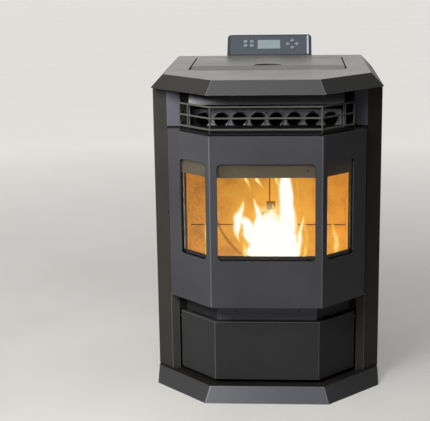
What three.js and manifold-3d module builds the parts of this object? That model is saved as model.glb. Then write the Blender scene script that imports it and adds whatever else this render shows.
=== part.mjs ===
// Free-standing pellet stove with a three-sided bay front.
// Millimetres, +Z up. The model is laid out with y = 0 at the plinth's front edge and x = 0 on the centre plane,
// and the whole stove is then moved so that its origin is the bottom centre of its overall box.
import * as THREE from 'three';
import { mergeVertices } from 'three/addons/utils/BufferGeometryUtils.js';
import Module from 'manifold-3d';

const wasm = await Module();
wasm.setup();

// ---------------------------------------------------------------- driving dimensions

const GAP = 0.3; // between two touching pieces
const CORNER_STEPS = 4; // flats in a rounded corner
const TUBE_SIDES = 14; // flats round a heat-exchanger tube and the holes it passes through
const BAY_ANGLE = Math.PI / 4; // between the front face and each side facet

const body = { width: 598, depth: 604, sheet: 2 };
const plinth = { half: 161, height: 36.5, chamfer: 31, wall: 2.5, flange: 24, flangeThickness: 3 };
const column = { face: 155, faceEdge: 237, upperEdge: 224, facetStart: 258.5 };
const cover = { half: 147, overhang: 0.5, rimHeight: 806.3, height: 840, chamfer: 32.5, sheet: 3 };

const door = { half: 141.5, front: 18.6, side: 256, back: 149, bottom: 256, top: 701.5, wall: 4, plate: 3 };
const doorFlange = { side: 42, end: 26 };
const glazing = { bottom: 381, top: 631, half: 123.5, radius: 10, facetStart: 17, facetWidth: 98, lap: 7.5, thickness: 4 };
const retainer = { thickness: 3, browDepth: 36, sillHeight: 10, border: 20, endInset: 20 };
const gasket = { width: 9, depth: 8, fromSide: 34, fromEnd: 12.5 };
const hinge = { x: 246, y: 139, pin: 4, clearance: 0.3, arm: 4, reach: 14 };
const latch = { x: 240, z: 479, spindle: 3.4, blade: 12.5, lever: 22, plate: 2.4, notch: 15.5, below: 7.5, above: 16 };

const drawer = { half: 136, front: 55, side: 231.5, bottom: 46, height: 159, sheet: 2.5, lip: 14 };
const pan = { width: 400, depth: 143, bottom: 50, height: 140, sheet: 1.5 };
const runner = { width: 24, upright: 3, height: 38 };
const apron = { half: 130, front: 69, sheet: 2.5, top: 255.4 };

const firebox = { half: 233, rear: 302, floor: 258, top: 752, sheet: 3, floorThickness: 4 };
const faceplate = { half: 236, thickness: 3, openingHalf: 211, openingBottom: 280, openingTop: 677 };
const brick = { thickness: 19, top: 640, backBottom: 320.3, recess: 24, recessZ: 438, recessDepth: 8 };
const baffle = { thickness: 4, depth: 104 };
const pot = { half: 50, front: 176, back: 250, top: 322, height: 54, taper: 9, wall: 4, flange: 8, hole: 3 };
const seat = { wall: 4, margin: 4 };
const intake = { radius: 21, wall: 2, z: 286, tail: 20 };
const igniter = { x: 34, radius: 5, collar: 10, length: 90 };

const tubes = { count: 8, pitch: 46.9, z: 723, radius: 20, wall: 2, sheetHalf: 192, sheetHeight: 53, sheet: 4 };
const scraper = { z: 740, rod: 3, plate: 3, clearance: 1, fromBack: 11 };
const hood = { half: 196, frontY: 90, lowZ: 770, highZ: 802, cheekFront: 106, sheet: 1.5 };
const grille = { half: 139, front: 25, side: 221, rail: 2.6, rod: 2, railZ: [717, 745.5, 773.5], mid: 198 };
const tray = { z: 705.8, thickness: 2, inset: 2, lip: 4 };

const lid = { half: 206, front: 237, crease: 342, fromBack: 64, thickness: 3, dip: 9, gap: 4, radius: 33 };
const fingerSlot = { width: 78, depth: 44, fromCrease: 4, steps: 14 };
const lidHinge = { radius: 2.4, pin: 1, fromRear: 3.5, half: 168, knuckle: 38, leaf: 15 };
const hopper = { half: 196, front: 243, fromBack: 69, slopeTop: 822, slopeBottom: 620, sheet: 2, flange: 24 };
const throat = { half: 30, fromBack: 158, length: 78 };
const auger = { z: 570, tube: 32, wall: 2, flight: 28, shaft: 7, pitch: 50, start: 330, flightThickness: 3 };
const gearmotor = { width: 84, height: 72, depth: 30, can: 24, canLength: 20, socket: 6 };
const chute = { half: 30, mouthBottom: 396, mouthTop: 446, sheet: 2, drop: 45, toe: 14, heel: 20, shoulder: 34, inset: 6 };

const exhaust = { ductLeft: 120, ductRight: 190, ductBottom: 150, ductTop: 689, ductDepth: 42, sheet: 2 };
const exhaustFan = { z: 190, radius: 66, depth: 50, impeller: 54, inlet: 30, blades: 8, shaft: 5, motor: 36, motorLength: 70 };
const flue = { x: 80, z: 230, radius: 40, wall: 2, tail: 76, flange: 43, boxHalf: 46 };
const airDuct = { left: -190, right: -120, bottom: 140, plenumHalf: 190, plenumBottom: 690, depth: 42, sheet: 1.5 };
const airFan = { y: 465, z: 135, radius: 62, width: 78, impeller: 50, blades: 12, shaft: 5, motor: 38, motorLength: 66, outlet: 42 };
const vents = { count: 8, length: 90, height: 6, pitch: 14, x: -160, bottom: 90 };

const panel = { width: 248, height: 82, depth: 24, tilt: 46, radius: 12, wall: 3, front: 2.5, standoff: 2, rise: -2 };
const face = { margin: 8, bottom: 7, top: 78, recess: 1.5, thickness: 1.2 };
const display = { left: -35, right: 31.6, bottom: 28, top: 61.5, proud: 0.3 };
const roundKey = { radius: 6.6, proud: 1.4, stem: 3.2, xs: [-70.9, -52.3], ys: [39.9, 55.1] };
const arrowKey = { size: 7.4, offset: 13, x: 67.4, y: 45 };
const keyClearance = 0.4;
const powerInlet = {
  fromSide: 84, z: 110, width: 50, height: 28, depth: 24, recess: 16, plate: 3, rim: 5, socket: 24, socketHeight: 16,
};
const ashHole = { inner: 85, outer: 185, front: 15, back: 10 };
const panelFoot = { half: 60, drop: 70, knee: 34, shelf: 17, thickness: 3, reach: 20, rest: 8 };
const cableSlot = { half: 30, bottom: 20, top: 40 };


// ---------------------------------------------------------------- solids

function toSolid(geometry) {
  const bare = geometry.index ? geometry.clone() : geometry;
  bare.deleteAttribute('normal');
  bare.deleteAttribute('uv');
  const merged = mergeVertices(bare, 1e-4);
  return new wasm.Manifold(new wasm.Mesh({
    numProp: 3,
    vertProperties: new Float32Array(merged.attributes.position.array),
    triVerts: new Uint32Array(merged.index.array),
  }));
}

function toGeometry(solid) {
  const mesh = solid.getMesh();
  const geometry = new THREE.BufferGeometry();
  geometry.setAttribute('position', new THREE.BufferAttribute(mesh.vertProperties, 3));
  geometry.setIndex(new THREE.BufferAttribute(mesh.triVerts, 1));
  geometry.computeVertexNormals();
  return geometry;
}

const join = (first, ...rest) => rest.reduce((a, b) => a.add(b), first);
const cut = (first, ...rest) => rest.reduce((a, b) => a.subtract(b), first);

// A box from its lowest and highest X, Y and Z.
function box(x0, x1, y0, y1, z0, z1) {
  const g = new THREE.BoxGeometry(x1 - x0, y1 - y0, z1 - z0);
  return toSolid(g.translate((x0 + x1) / 2, (y0 + y1) / 2, (z0 + z1) / 2));
}

function shapeOf(points) {
  return new THREE.Shape(points.map(([a, b]) => new THREE.Vector2(a, b)));
}

// A plan outline (x, y) raised from z0 to z1.
function prismZ(points, z0, z1) {
  const shape = points instanceof THREE.Shape ? points : shapeOf(points);
  const g = new THREE.ExtrudeGeometry(shape, { depth: z1 - z0, bevelEnabled: false, curveSegments: CORNER_STEPS });
  return toSolid(g.translate(0, 0, z0));
}

// A side outline (y, z) swept from x0 to x1.
function prismX(points, x0, x1) {
  const g = new THREE.ExtrudeGeometry(shapeOf(points), { depth: x1 - x0, bevelEnabled: false });
  const axes = new THREE.Matrix4().makeBasis(
    new THREE.Vector3(0, 1, 0), new THREE.Vector3(0, 0, 1), new THREE.Vector3(1, 0, 0));
  return toSolid(g.applyMatrix4(axes).translate(x0, 0, 0));
}

// A solid between two convex outlines with the same number of points.
function loft(lower, z0, upper, z1) {
  const n = lower.length;
  const positions = [];
  lower.forEach(([x, y]) => positions.push(x, y, z0));
  upper.forEach(([x, y]) => positions.push(x, y, z1));
  const index = [];
  for (let i = 0; i < n; i++) {
    const j = (i + 1) % n;
    index.push(i, j, n + j, i, n + j, n + i);
    if (i > 0 && i < n - 1) index.push(0, i + 1, i, n, n + i, n + i + 1);
  }
  const g = new THREE.BufferGeometry();
  g.setAttribute('position', new THREE.Float32BufferAttribute(positions, 3));
  g.setIndex(index);
  return toSolid(g);
}

const AXES = {
  x: new THREE.Vector3(1, 0, 0),
  y: new THREE.Vector3(0, 1, 0),
  z: new THREE.Vector3(0, 0, 1),
};

// A round bar along one axis: centre gives its other two coordinates, and from and to its ends.
function bar(axis, radius, centre, from, to, sides = 16) {
  const g = new THREE.CylinderGeometry(radius, radius, to - from, sides);
  g.applyQuaternion(new THREE.Quaternion().setFromUnitVectors(AXES.y, AXES[axis]));
  const mid = (from + to) / 2;
  const at = { x: [mid, ...centre], y: [centre[0], mid, centre[1]], z: [...centre, mid] }[axis];
  return toSolid(g.translate(...at));
}

const pipe = (axis, radius, wall, centre, from, to, sides = 16) => cut(
  bar(axis, radius, centre, from, to, sides),
  bar(axis, radius - wall, centre, from - 1, to + 1, sides));

// A round bar that follows a list of plan points at one height, with mitred corners.
function bentBar(radius, points, z, sides = 6) {
  const path = new THREE.CurvePath();
  for (let i = 1; i < points.length; i++) {
    path.add(new THREE.LineCurve3(
      new THREE.Vector3(...points[i - 1], z), new THREE.Vector3(...points[i], z)));
  }
  const pieces = path.curves.map((line) => {
    const section = new THREE.Shape().absarc(0, 0, radius, 0, 2 * Math.PI);
    return toSolid(new THREE.ExtrudeGeometry(section, {
      steps: 1, bevelEnabled: false, extrudePath: line, curveSegments: sides / 2,
    }));
  });
  const knees = points.slice(1, -1).map(([x, y]) => toSolid(
    new THREE.SphereGeometry(radius * 1.02, sides, sides / 2).translate(x, y, z)));
  return join(...pieces, ...knees);
}

function roundedRect(x0, x1, y0, y1, radius, topRadius = radius) {
  const s = new THREE.Shape();
  s.moveTo(x0 + radius, y0);
  s.lineTo(x1 - radius, y0);
  s.absarc(x1 - radius, y0 + radius, radius, -Math.PI / 2, 0);
  s.lineTo(x1, y1 - topRadius);
  s.absarc(x1 - topRadius, y1 - topRadius, topRadius, 0, Math.PI / 2);
  s.lineTo(x0 + topRadius, y1);
  s.absarc(x0 + topRadius, y1 - topRadius, topRadius, Math.PI / 2, Math.PI);
  s.lineTo(x0, y0 + radius);
  s.absarc(x0 + radius, y0 + radius, radius, Math.PI, 1.5 * Math.PI);
  s.closePath();
  return s;
}

// ---------------------------------------------------------------- bay outlines

const run = Math.tan(BAY_ANGLE); // depth gained per unit of width along a facet
const squeeze = Math.tan(BAY_ANGLE / 2); // how much the front narrows per unit of inset
const facetLength = Math.sqrt(1 + run * run);

// The six-cornered plan outline of a bay: flat front, two facets, straight sides, flat back.
// inset moves the front and the facets in, sideInset the sides, and back is where the outline ends.
function bay({ half, front, side }, back, inset = 0, sideInset = inset) {
  const h = half - inset * squeeze;
  const s = side - sideInset;
  const yFront = front + inset;
  const ySide = yFront + (s - h) * run;
  return [[-h, yFront], [h, yFront], [s, ySide], [s, back], [-s, back], [-s, ySide]];
}

// Where a facet of a bay crosses a given half-width.
const facetY = ({ half, front }, x, inset = 0) => front + inset + (x - half + inset * squeeze) * run;

// The frame of a facet: its origin on the crease, and its axes along the facet, up, and outward.
function facetMatrix({ half, front }, sign, inset) {
  const along = new THREE.Vector3(sign * Math.cos(BAY_ANGLE), Math.sin(BAY_ANGLE), 0);
  const up = new THREE.Vector3(0, 0, 1);
  const out = new THREE.Vector3().crossVectors(along, up);
  const m = new THREE.Matrix4().makeBasis(along, up, out);
  const crease = new THREE.Vector3(sign * (half - inset * squeeze), front + inset, 0);
  return m.setPosition(crease);
}

// A plate on a facet: an outline of (distance from the crease, height), reaching inward from the inset.
function facetPlate(bayShape, sign, outline, inset, thickness) {
  const g = new THREE.ExtrudeGeometry(outline, { depth: thickness, bevelEnabled: false, curveSegments: CORNER_STEPS });
  if (sign > 0) g.translate(0, 0, -thickness); // the right facet's outward axis is out of its front
  return toSolid(g.applyMatrix4(facetMatrix(bayShape, sign, inset)));
}

// A plate in an upright plane that faces forward: an outline of (x, z), from y0 back to y1.
function uprightPlate(outline, y0, y1) {
  const g = new THREE.ExtrudeGeometry(outline, { depth: y1 - y0, bevelEnabled: false, curveSegments: CORNER_STEPS });
  const axes = new THREE.Matrix4().makeBasis(AXES.x, AXES.z, new THREE.Vector3(0, -1, 0));
  return toSolid(g.applyMatrix4(axes).translate(0, y1, 0));
}

// ---------------------------------------------------------------- finishes

const finish = (color, roughness, metalness) => new THREE.MeshStandardMaterial({ color, roughness, metalness });
const paint = () => finish(0x3b3b3c, 0.5, 0.3);
const darkPaint = () => finish(0x242424, 0.6, 0.3);
const steel = () => finish(0x8d9094, 0.4, 0.9);
const zinc = () => finish(0xb4b8bc, 0.45, 0.8);
const iron = () => finish(0x2c2a29, 0.8, 0.5);
const ceramicGlass = () => finish(0x8a6a4a, 0.05, 0);
const fireclay = () => finish(0xb57a3c, 0.9, 0);
const ropeWhite = () => finish(0xd8d2c2, 0.95, 0);
const blackPlastic = () => finish(0x151515, 0.4, 0);

const stove = new THREE.Group();
const nodes = {};

function add(name, solid, material, parent = stove) {
  const mesh = new THREE.Mesh(toGeometry(solid), material);
  mesh.name = name;
  parent.add(mesh);
  nodes[name] = mesh;
  return mesh;
}

// ---------------------------------------------------------------- cabinet

const sideOuter = body.width / 2;
const deck = plinth.height + GAP;
const panelTop = cover.rimHeight - GAP;
const rearInner = body.depth - body.sheet;
const faceFront = column.face + body.sheet + 0.6; // front of the firebox face plate

function makePlinth() {
  const shape = { half: plinth.half, front: 0, side: sideOuter - 0.5 };
  const inner = { ...shape, side: shape.side };
  const shell = loft(bay(shape, body.depth), 0, bay(shape, body.depth, plinth.chamfer, 0), plinth.height);
  const slope = plinth.chamfer / plinth.height;
  const at = (z) => plinth.wall * Math.hypot(1, slope) + slope * z;
  const hollow = loft(
    bay(inner, body.depth - plinth.wall, at(plinth.flangeThickness), plinth.wall), plinth.flangeThickness,
    bay(inner, body.depth - plinth.wall, at(plinth.height - plinth.wall), plinth.wall),
    plinth.height - plinth.wall);
  const mouth = prismZ(
    bay(inner, body.depth - plinth.flange, plinth.flange + plinth.chamfer / 3, plinth.flange),
    -1, plinth.flangeThickness + 1);
  return cut(shell, hollow, mouth);
}

// The bent side sheet: straight side, 45 degree corner, and a front-facing strip beside the door.
function sidePanel(sign) {
  const t = body.sheet;
  const outer = sideOuter;
  const corner = column.face + (outer - column.facetStart) * run;
  const k = t * squeeze;
  const strip = [
    [outer, rearInner + t], [outer, corner], [column.facetStart, column.face], [column.faceEdge, column.face],
    [column.faceEdge, column.face + t], [column.facetStart - k, column.face + t],
    [outer - t, corner + k], [outer - t, rearInner + t],
  ].map(([x, y]) => [sign * x, y]);
  const outline = sign > 0 ? strip : strip.reverse();
  const upper = box(
    ...[sign * column.upperEdge, sign * (column.faceEdge + 1)].sort((a, b) => a - b),
    column.face, column.face + t, door.top - 4, panelTop);
  const shell = join(prismZ(outline.reverse(), deck, panelTop), upper);
  if (sign > 0) return shell;
  const notch = box(
    -(latch.x + latch.notch), -column.faceEdge + 1, column.face - 1, column.face + t + 1,
    latch.z - latch.below, latch.z + latch.above);
  return cut(shell, notch);
}

const inletX = powerInlet.fromSide - body.width / 2;
const inletHoleHalf = powerInlet.width / 2 - powerInlet.rim + 1;
const inletHoleHeight = powerInlet.height - 2 * powerInlet.rim + 2;

function makeRearPanel() {
  const half = sideOuter - body.sheet - GAP;
  const sheet = box(-half, half, rearInner, body.depth, deck, panelTop);
  const louvres = [];
  for (let i = 0; i < vents.count; i++) {
    const z = vents.bottom + i * vents.pitch;
    louvres.push(box(
      vents.x - vents.length / 2, vents.x + vents.length / 2, rearInner - 1, body.depth + 1, z, z + vents.height));
  }
  return cut(
    sheet, ...louvres,
    bar('y', flue.radius + GAP, [flue.x, flue.z], rearInner - 1, body.depth + 1, 20),
    bar('y', intake.radius + GAP, [0, intake.z], rearInner - 1, body.depth + 1, 16),
    box(inletX - inletHoleHalf, inletX + inletHoleHalf, rearInner - 1, body.depth + 1,
      powerInlet.z - inletHoleHeight / 2, powerInlet.z + inletHoleHeight / 2));
}

// The lid ends, and its hinge lies, a fixed distance from the stove's back.
const lidRear = body.depth - lid.fromBack;
const coverShape = { half: cover.half, front: 0, side: sideOuter + cover.overhang };
const coverUnder = cover.height - cover.sheet;

function makeCover() {
  const t = cover.sheet;
  const rise = cover.height - cover.rimHeight;
  const grow = t * Math.hypot(cover.chamfer, rise) / rise; // horizontal thickness of the sloping rim
  const outer = loft(
    bay(coverShape, body.depth), cover.rimHeight,
    bay(coverShape, body.depth, cover.chamfer), cover.height);
  const slope = cover.chamfer / rise;
  const inner = loft(
    bay(coverShape, body.depth - t, grow - slope), cover.rimHeight - 1,
    bay(coverShape, body.depth - t, grow + slope * (rise - t)), coverUnder);
  const hole = roundedRect(
    -lid.half - lid.gap, lid.half + lid.gap, lid.front - 3, lidRear + lidHinge.fromRear + 4, lid.radius + 2, 2);
  return cut(outer, inner, prismZ(hole, coverUnder - 2, cover.height + 2));
}

function makeApron() {
  const side = apron.half + (faceFront - GAP - apron.front) / run - 1;
  const shape = { half: apron.half, front: apron.front, side };
  const back = faceFront - GAP;
  const bottom = drawer.bottom + drawer.height + 1.3;
  return cut(
    prismZ(bay(shape, back), bottom, apron.top),
    prismZ(bay(shape, back + 1, apron.sheet), bottom - 1, apron.top + 1));
}

// ---------------------------------------------------------------- firebox

const plateBack = faceFront + faceplate.thickness;
const innerHalf = firebox.half - firebox.sheet;
const backInner = firebox.rear - firebox.sheet;
const floorTop = firebox.floor + firebox.floorThickness;
const brickFront = backInner - GAP - brick.thickness;
const tubeXs = Array.from({ length: tubes.count }, (_, i) => (i - (tubes.count - 1) / 2) * tubes.pitch);
const outerTube = tubeXs[tubes.count - 1] + tubes.radius;
const ductPort = { bottom: 655, top: 684, margin: 6 };

function makeFireboxShell() {
  const bottom = drawer.bottom + drawer.height + 2;
  const plate = box(-faceplate.half, faceplate.half, faceFront, plateBack, bottom, coverUnder - GAP);
  const shell = join(
    plate,
    box(-firebox.half, firebox.half, faceFront, firebox.rear, firebox.floor, firebox.top));
  const shelf = box(-innerHalf, innerHalf, brickFront - 3, backInner + 1, brick.backBottom - GAP - 4, brick.backBottom - GAP);
  const hollow = cut(
    box(-innerHalf, innerHalf, plateBack, backInner, floorTop, firebox.top - firebox.sheet),
    shelf);
  const mouth = box(
    -faceplate.openingHalf, faceplate.openingHalf, faceFront - 1, plateBack + 1,
    faceplate.openingBottom, faceplate.openingTop);
  const tubeMouth = box(
    -outerTube - 2, outerTube + 2, faceFront - 1, plateBack + 1,
    tubes.z - tubes.radius - 1.5, tubes.z + tubes.radius + 1.5);
  const ashHoles = [-1, 1].map((s) => box(
    Math.min(s * ashHole.inner, s * ashHole.outer), Math.max(s * ashHole.inner, s * ashHole.outer),
    plateBack + ashHole.front, brickFront - ashHole.back,
    firebox.floor - 1, floorTop + 1));
  const rearHoles = tubeXs.map((x) => bar(
    'y', tubes.radius + GAP, [x, tubes.z], backInner - 1, firebox.rear + 1, TUBE_SIDES));
  return cut(
    shell, hollow, mouth, tubeMouth, ...ashHoles, ...rearHoles,
    bar('y', intake.radius + GAP, [0, intake.z], backInner - 1, firebox.rear + 1, 16),
    bar('y', igniter.radius + GAP, [igniter.x, intake.z], backInner - 1, firebox.rear + 1, 16),
    box(-chute.half, chute.half, backInner - 1, firebox.rear + 1, chute.mouthBottom, chute.mouthTop),
    box(exhaust.ductLeft + ductPort.margin, exhaust.ductRight - ductPort.margin,
      backInner - 1, firebox.rear + 1, ductPort.bottom, ductPort.top));
}

function makeBrickBack() {
  const half = innerHalf - GAP - brick.thickness - GAP;
  const slab = box(-half, half, brickFront, backInner - GAP, brick.backBottom, brick.top);
  return cut(
    slab,
    box(-chute.half, chute.half, brickFront - 1, backInner + 1, chute.mouthBottom, chute.mouthTop),
    box(-brick.recess / 2 + 8, brick.recess / 2 + 8, brickFront - 1, brickFront + brick.recessDepth,
      brick.recessZ + 14, brick.recessZ + 14 + brick.recess));
}

function makeBrickSide(sign) {
  const xs = [sign * (innerHalf - GAP), sign * (innerHalf - GAP - brick.thickness)].sort((a, b) => a - b);
  const rear = join(
    box(...xs, plateBack + GAP, backInner - GAP, floorTop + GAP, brick.top));
  // the shelf under the back brick runs to the side walls, so the side brick is cut round it
  return cut(rear, box(
    xs[0] - 1, xs[1] + 1, brickFront - 3 - GAP, backInner + 1,
    brick.backBottom - 2 * GAP - 4, brick.backBottom));
}

function makeBaffle() {
  const half = innerHalf - 2;
  const z = brick.top + GAP;
  const sheet = box(-half, half, backInner - baffle.depth, backInner - GAP, z, z + baffle.thickness);
  const slots = [-0.6, -0.2, 0.2, 0.6].map((k) => box(
    half * k - 25, half * k + 25, backInner - baffle.depth + 12, backInner - baffle.depth + 20,
    z - 1, z + baffle.thickness + 1));
  return cut(sheet, ...slots);
}

const rectangle = (half, y0, y1) => [[-half, y0], [half, y0], [half, y1], [-half, y1]];

function makePot() {
  const bottom = pot.top - pot.height;
  const k = pot.taper;
  const w = pot.wall;
  const bowl = loft(
    rectangle(pot.half - k, pot.front + k, pot.back - k), bottom,
    rectangle(pot.half, pot.front, pot.back), pot.top);
  const flange = box(
    -pot.half - pot.flange, pot.half + pot.flange, pot.front - pot.flange, pot.back + pot.flange,
    pot.top - w, pot.top);
  const hollow = loft(
    rectangle(pot.half - k - w, pot.front + k + w, pot.back - k - w), bottom + w,
    rectangle(pot.half - w, pot.front + w, pot.back - w), pot.top + 0.01);
  const holes = [];
  const rows = [0.25, 0.75];
  for (const i of [-1.5, -0.5, 0.5, 1.5]) {
    for (const r of rows) {
      const y = pot.front + k + w + r * (pot.back - pot.front - 2 * (k + w));
      holes.push(bar('z', pot.hole, [i * 18, y], bottom - 1, bottom + w + 1, 10));
    }
    holes.push(bar('y', pot.hole, [i * 18, bottom + 22], pot.front - 5, pot.back + 5, 10));
  }
  return cut(join(bowl, flange), hollow, ...holes);
}

const seatHalf = pot.half + seat.margin + seat.wall;
const seatFront = pot.front - seat.margin - seat.wall;
const seatBack = pot.back + seat.margin + seat.wall;

function makeSeat() {
  const top = pot.top - pot.wall - GAP;
  return cut(
    box(-seatHalf, seatHalf, seatFront, seatBack, floorTop + GAP, top),
    box(-seatHalf + seat.wall, seatHalf - seat.wall, seatFront + seat.wall, seatBack - seat.wall,
      floorTop - 1, top + 1),
    bar('y', intake.radius - intake.wall, [0, intake.z], seatBack - seat.wall - 1, seatBack + 1, 16),
    bar('y', igniter.radius + GAP, [igniter.x, intake.z], seatBack - seat.wall - 1, seatBack + 1, 16));
}

const makeIgniter = () => join(
  bar('y', igniter.radius, [igniter.x, intake.z], seatBack - seat.wall, seatBack - seat.wall + igniter.length, 16),
  bar('y', igniter.collar, [igniter.x, intake.z], firebox.rear + GAP, firebox.rear + GAP + 5, 16));

const makeIntake = () => pipe(
  'y', intake.radius, intake.wall, [0, intake.z], seatBack + GAP, body.depth + intake.tail, 16);

// ---------------------------------------------------------------- heat exchanger and hot-air outlet

const tubeSheetBack = faceFront - GAP;
const tubeSheetFront = tubeSheetBack - tubes.sheet;

function makeHeatExchanger() {
  const z0 = tubes.z - tubes.sheetHeight / 2;
  const sheet = box(-tubes.sheetHalf, tubes.sheetHalf, tubeSheetFront, tubeSheetBack, z0, z0 + tubes.sheetHeight);
  const bodies = tubeXs.map((x) => bar('y', tubes.radius, [x, tubes.z], tubeSheetFront - 2, firebox.rear + 4, TUBE_SIDES));
  const bores = tubeXs.map((x) => bar(
    'y', tubes.radius - tubes.wall, [x, tubes.z], tubeSheetFront - 3, firebox.rear + 5, TUBE_SIDES));
  return cut(
    join(sheet, ...bodies), ...bores,
    bar('y', scraper.rod + 0.5, [0, scraper.z], tubeSheetFront - 1, tubeSheetBack + 1, 12));
}

const scraperRest = backInner - scraper.fromBack;

function makeScraper() {
  const half = outerTube + 3;
  const z1 = scraper.z + scraper.rod + 2;
  const plate = box(-half, half, scraperRest - scraper.plate, scraperRest, tubes.z - 12, z1);
  const holes = tubeXs.map((x) => bar(
    'y', tubes.radius + scraper.clearance, [x, tubes.z], scraperRest - scraper.plate - 1, scraperRest + 1, TUBE_SIDES));
  const notched = cut(plate, ...holes);
  return join(
    notched,
    box(-half, half, scraperRest - scraper.plate, scraperRest, tubes.z + tubes.radius + scraper.clearance, z1 + 1),
    bar('y', scraper.rod, [0, scraper.z], tubeSheetFront - 3, scraperRest - 1, 12));
}

// A sheet of constant thickness along a side profile of (y, z) points.
function sheetAlong(points, thickness, x0, x1) {
  const back = points.map(([y, z], i) => {
    const a = points[Math.max(i - 1, 0)];
    const b = points[Math.min(i + 1, points.length - 1)];
    const d = Math.hypot(b[0] - a[0], b[1] - a[1]);
    return [y + ((b[1] - a[1]) / d) * thickness, z - ((b[0] - a[0]) / d) * thickness];
  });
  return prismX([...points, ...back.reverse()].reverse(), x0, x1);
}

function makeHood() {
  const back = faceFront - GAP;
  const visor = [];
  const r = hood.highZ - hood.lowZ;
  const steps = 8;
  for (let i = 0; i <= steps; i++) {
    const a = (i / steps) * (Math.PI / 2);
    visor.push([hood.frontY + r * (1 - Math.cos(a)), hood.lowZ + r * Math.sin(a)]);
  }
  visor.push([back, hood.highZ]);
  const roof = sheetAlong(visor, hood.sheet, -hood.half, hood.half);
  const low = tray.z + tray.thickness + GAP;
  const cheeks = [-1, 1].map((s) => box(
    Math.min(s * hood.half, s * (hood.half - hood.sheet)), Math.max(s * hood.half, s * (hood.half - hood.sheet)),
    hood.cheekFront, back, low, hood.highZ - hood.sheet / 2));
  return join(roof, ...cheeks);
}

function makeGrille() {
  const g = grille;
  const yEnd = facetY(g, g.side);
  const back = faceFront - GAP;
  const path = [[-g.side, back], [-g.side, yEnd], [-g.half, g.front], [g.half, g.front], [g.side, yEnd], [g.side, back]];
  const rails = g.railZ.map((z) => bentBar(g.rail, path, z));
  const top = g.railZ[g.railZ.length - 1];
  const uprights = [g.half, g.mid, g.side].flatMap((x) => [-1, 1].map((s) => bar(
    'z', g.rod, [s * x, facetY(g, x)], tray.z + 1, top, 8)));
  const shelfShape = { half: g.half, front: g.front, side: g.side };
  const shelfBack = tubeSheetFront - 2 - GAP;
  const shelf = prismZ(bay(shelfShape, shelfBack, -tray.inset, 0), tray.z, tray.z + tray.thickness);
  const lip = cut(
    prismZ(bay(shelfShape, shelfBack, -tray.inset, 0), tray.z + tray.thickness - tray.lip, tray.z + 1),
    prismZ(bay(shelfShape, shelfBack + 1, -tray.inset + 2, 2), tray.z - tray.lip, tray.z + 2));
  return join(shelf, lip, ...rails, ...uprights);
}

// ---------------------------------------------------------------- door

const doorShape = { half: door.half, front: door.front, side: door.side };
const glassInset = door.wall + GAP;
const retainerInset = glassInset + glazing.thickness + GAP;

const facetWindow = (grow, bottom, top, radius) => roundedRect(
  glazing.facetStart - grow, glazing.facetStart + glazing.facetWidth + grow, bottom, top, radius);
const centreWindow = (grow, bottom, top, radius) => roundedRect(
  -glazing.half - grow, glazing.half + grow, bottom, top, radius);

// All three openings, cut through any skin that lies within depth behind the given inset.
function windowCutters(inset, depth, grow, bottom, top, radius) {
  return [
    uprightPlate(centreWindow(grow, bottom, top, radius), door.front + inset, door.front + inset + depth),
    ...[-1, 1].map((s) => facetPlate(
      doorShape, s, facetWindow(grow, bottom, top, radius), inset, depth)),
  ];
}

function makeDoor() {
  const d = door;
  const flangeFront = d.back - d.plate;
  const skin = cut(
    prismZ(bay(doorShape, d.back), d.bottom, d.top),
    prismZ(bay(doorShape, flangeFront, d.wall), d.bottom + d.plate, d.top - d.plate),
    box(-d.side + doorFlange.side, d.side - doorFlange.side, flangeFront - 1, d.back + 1,
      d.bottom + doorFlange.end, d.top - doorFlange.end));
  const pinHole = bar(
    'z', hinge.pin + hinge.clearance, [hinge.x, hinge.y], d.bottom - 1, d.top + 1, 20);
  const spindleHole = bar(
    'y', latch.spindle + 0.4, [-latch.x, latch.z], flangeFront - 1, d.back + 1, 16);
  return cut(
    skin, pinHole, spindleHole,
    ...windowCutters(-1, d.wall + 2, 0, glazing.bottom, glazing.top, glazing.radius));
}

const makeGlassCentre = () => uprightPlate(
  centreWindow(glazing.lap, glazing.bottom - glazing.lap, glazing.top + glazing.lap, 3),
  door.front + glassInset, door.front + glassInset + glazing.thickness);

const makeGlassSide = (sign) => facetPlate(
  doorShape, sign, facetWindow(glazing.lap, glazing.bottom - glazing.lap, glazing.top + glazing.lap, 3),
  glassInset, glazing.thickness);

function makeRetainer() {
  const back = facetY(doorShape, door.side - retainer.endInset, retainerInset) + retainer.thickness;
  const low = glazing.bottom - retainer.border;
  const high = glazing.top + retainer.border;
  const t = retainer.thickness;
  const frame = cut(
    prismZ(bay(doorShape, back, retainerInset, retainer.endInset), low, high),
    prismZ(bay(doorShape, back + 1, retainerInset + t, retainer.endInset + t), low - 1, high + 1));
  return cut(frame, ...windowCutters(
    retainerInset - 1, t + 2, 0,
    glazing.bottom + retainer.sillHeight, glazing.top - retainer.browDepth, 2));
}

function makeGasket() {
  const x = door.side - gasket.fromSide;
  const w = gasket.width / 2;
  const z0 = door.bottom + gasket.fromEnd;
  const z1 = door.top - gasket.fromEnd;
  const ring = roundedRect(-x - w, x + w, z0 - w, z1 + w, 14);
  ring.holes.push(roundedRect(-x + w, x - w, z0 + w, z1 - w, 6));
  return uprightPlate(ring, door.back + GAP, faceFront - GAP);
}

// The fixed arm above or below the door, with the pin that the door turns on.
function makeHinge(side) {
  const z0 = side > 0 ? door.top + GAP : door.bottom - GAP - hinge.arm;
  const plan = [
    [hinge.x - 9, hinge.y - 8], [hinge.x + 9, hinge.y - 8],
    [hinge.x + 9, column.face - GAP], [hinge.x - 9, column.face - GAP],
  ];
  const pinEnd = side > 0 ? door.top - door.plate - hinge.reach : door.bottom + door.plate + hinge.reach;
  const pin = bar('z', hinge.pin, [hinge.x, hinge.y], Math.min(z0 + 1, pinEnd), Math.max(z0 + hinge.arm - 1, pinEnd), 20);
  return join(prismZ(plan, z0, z0 + hinge.arm), pin);
}

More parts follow.
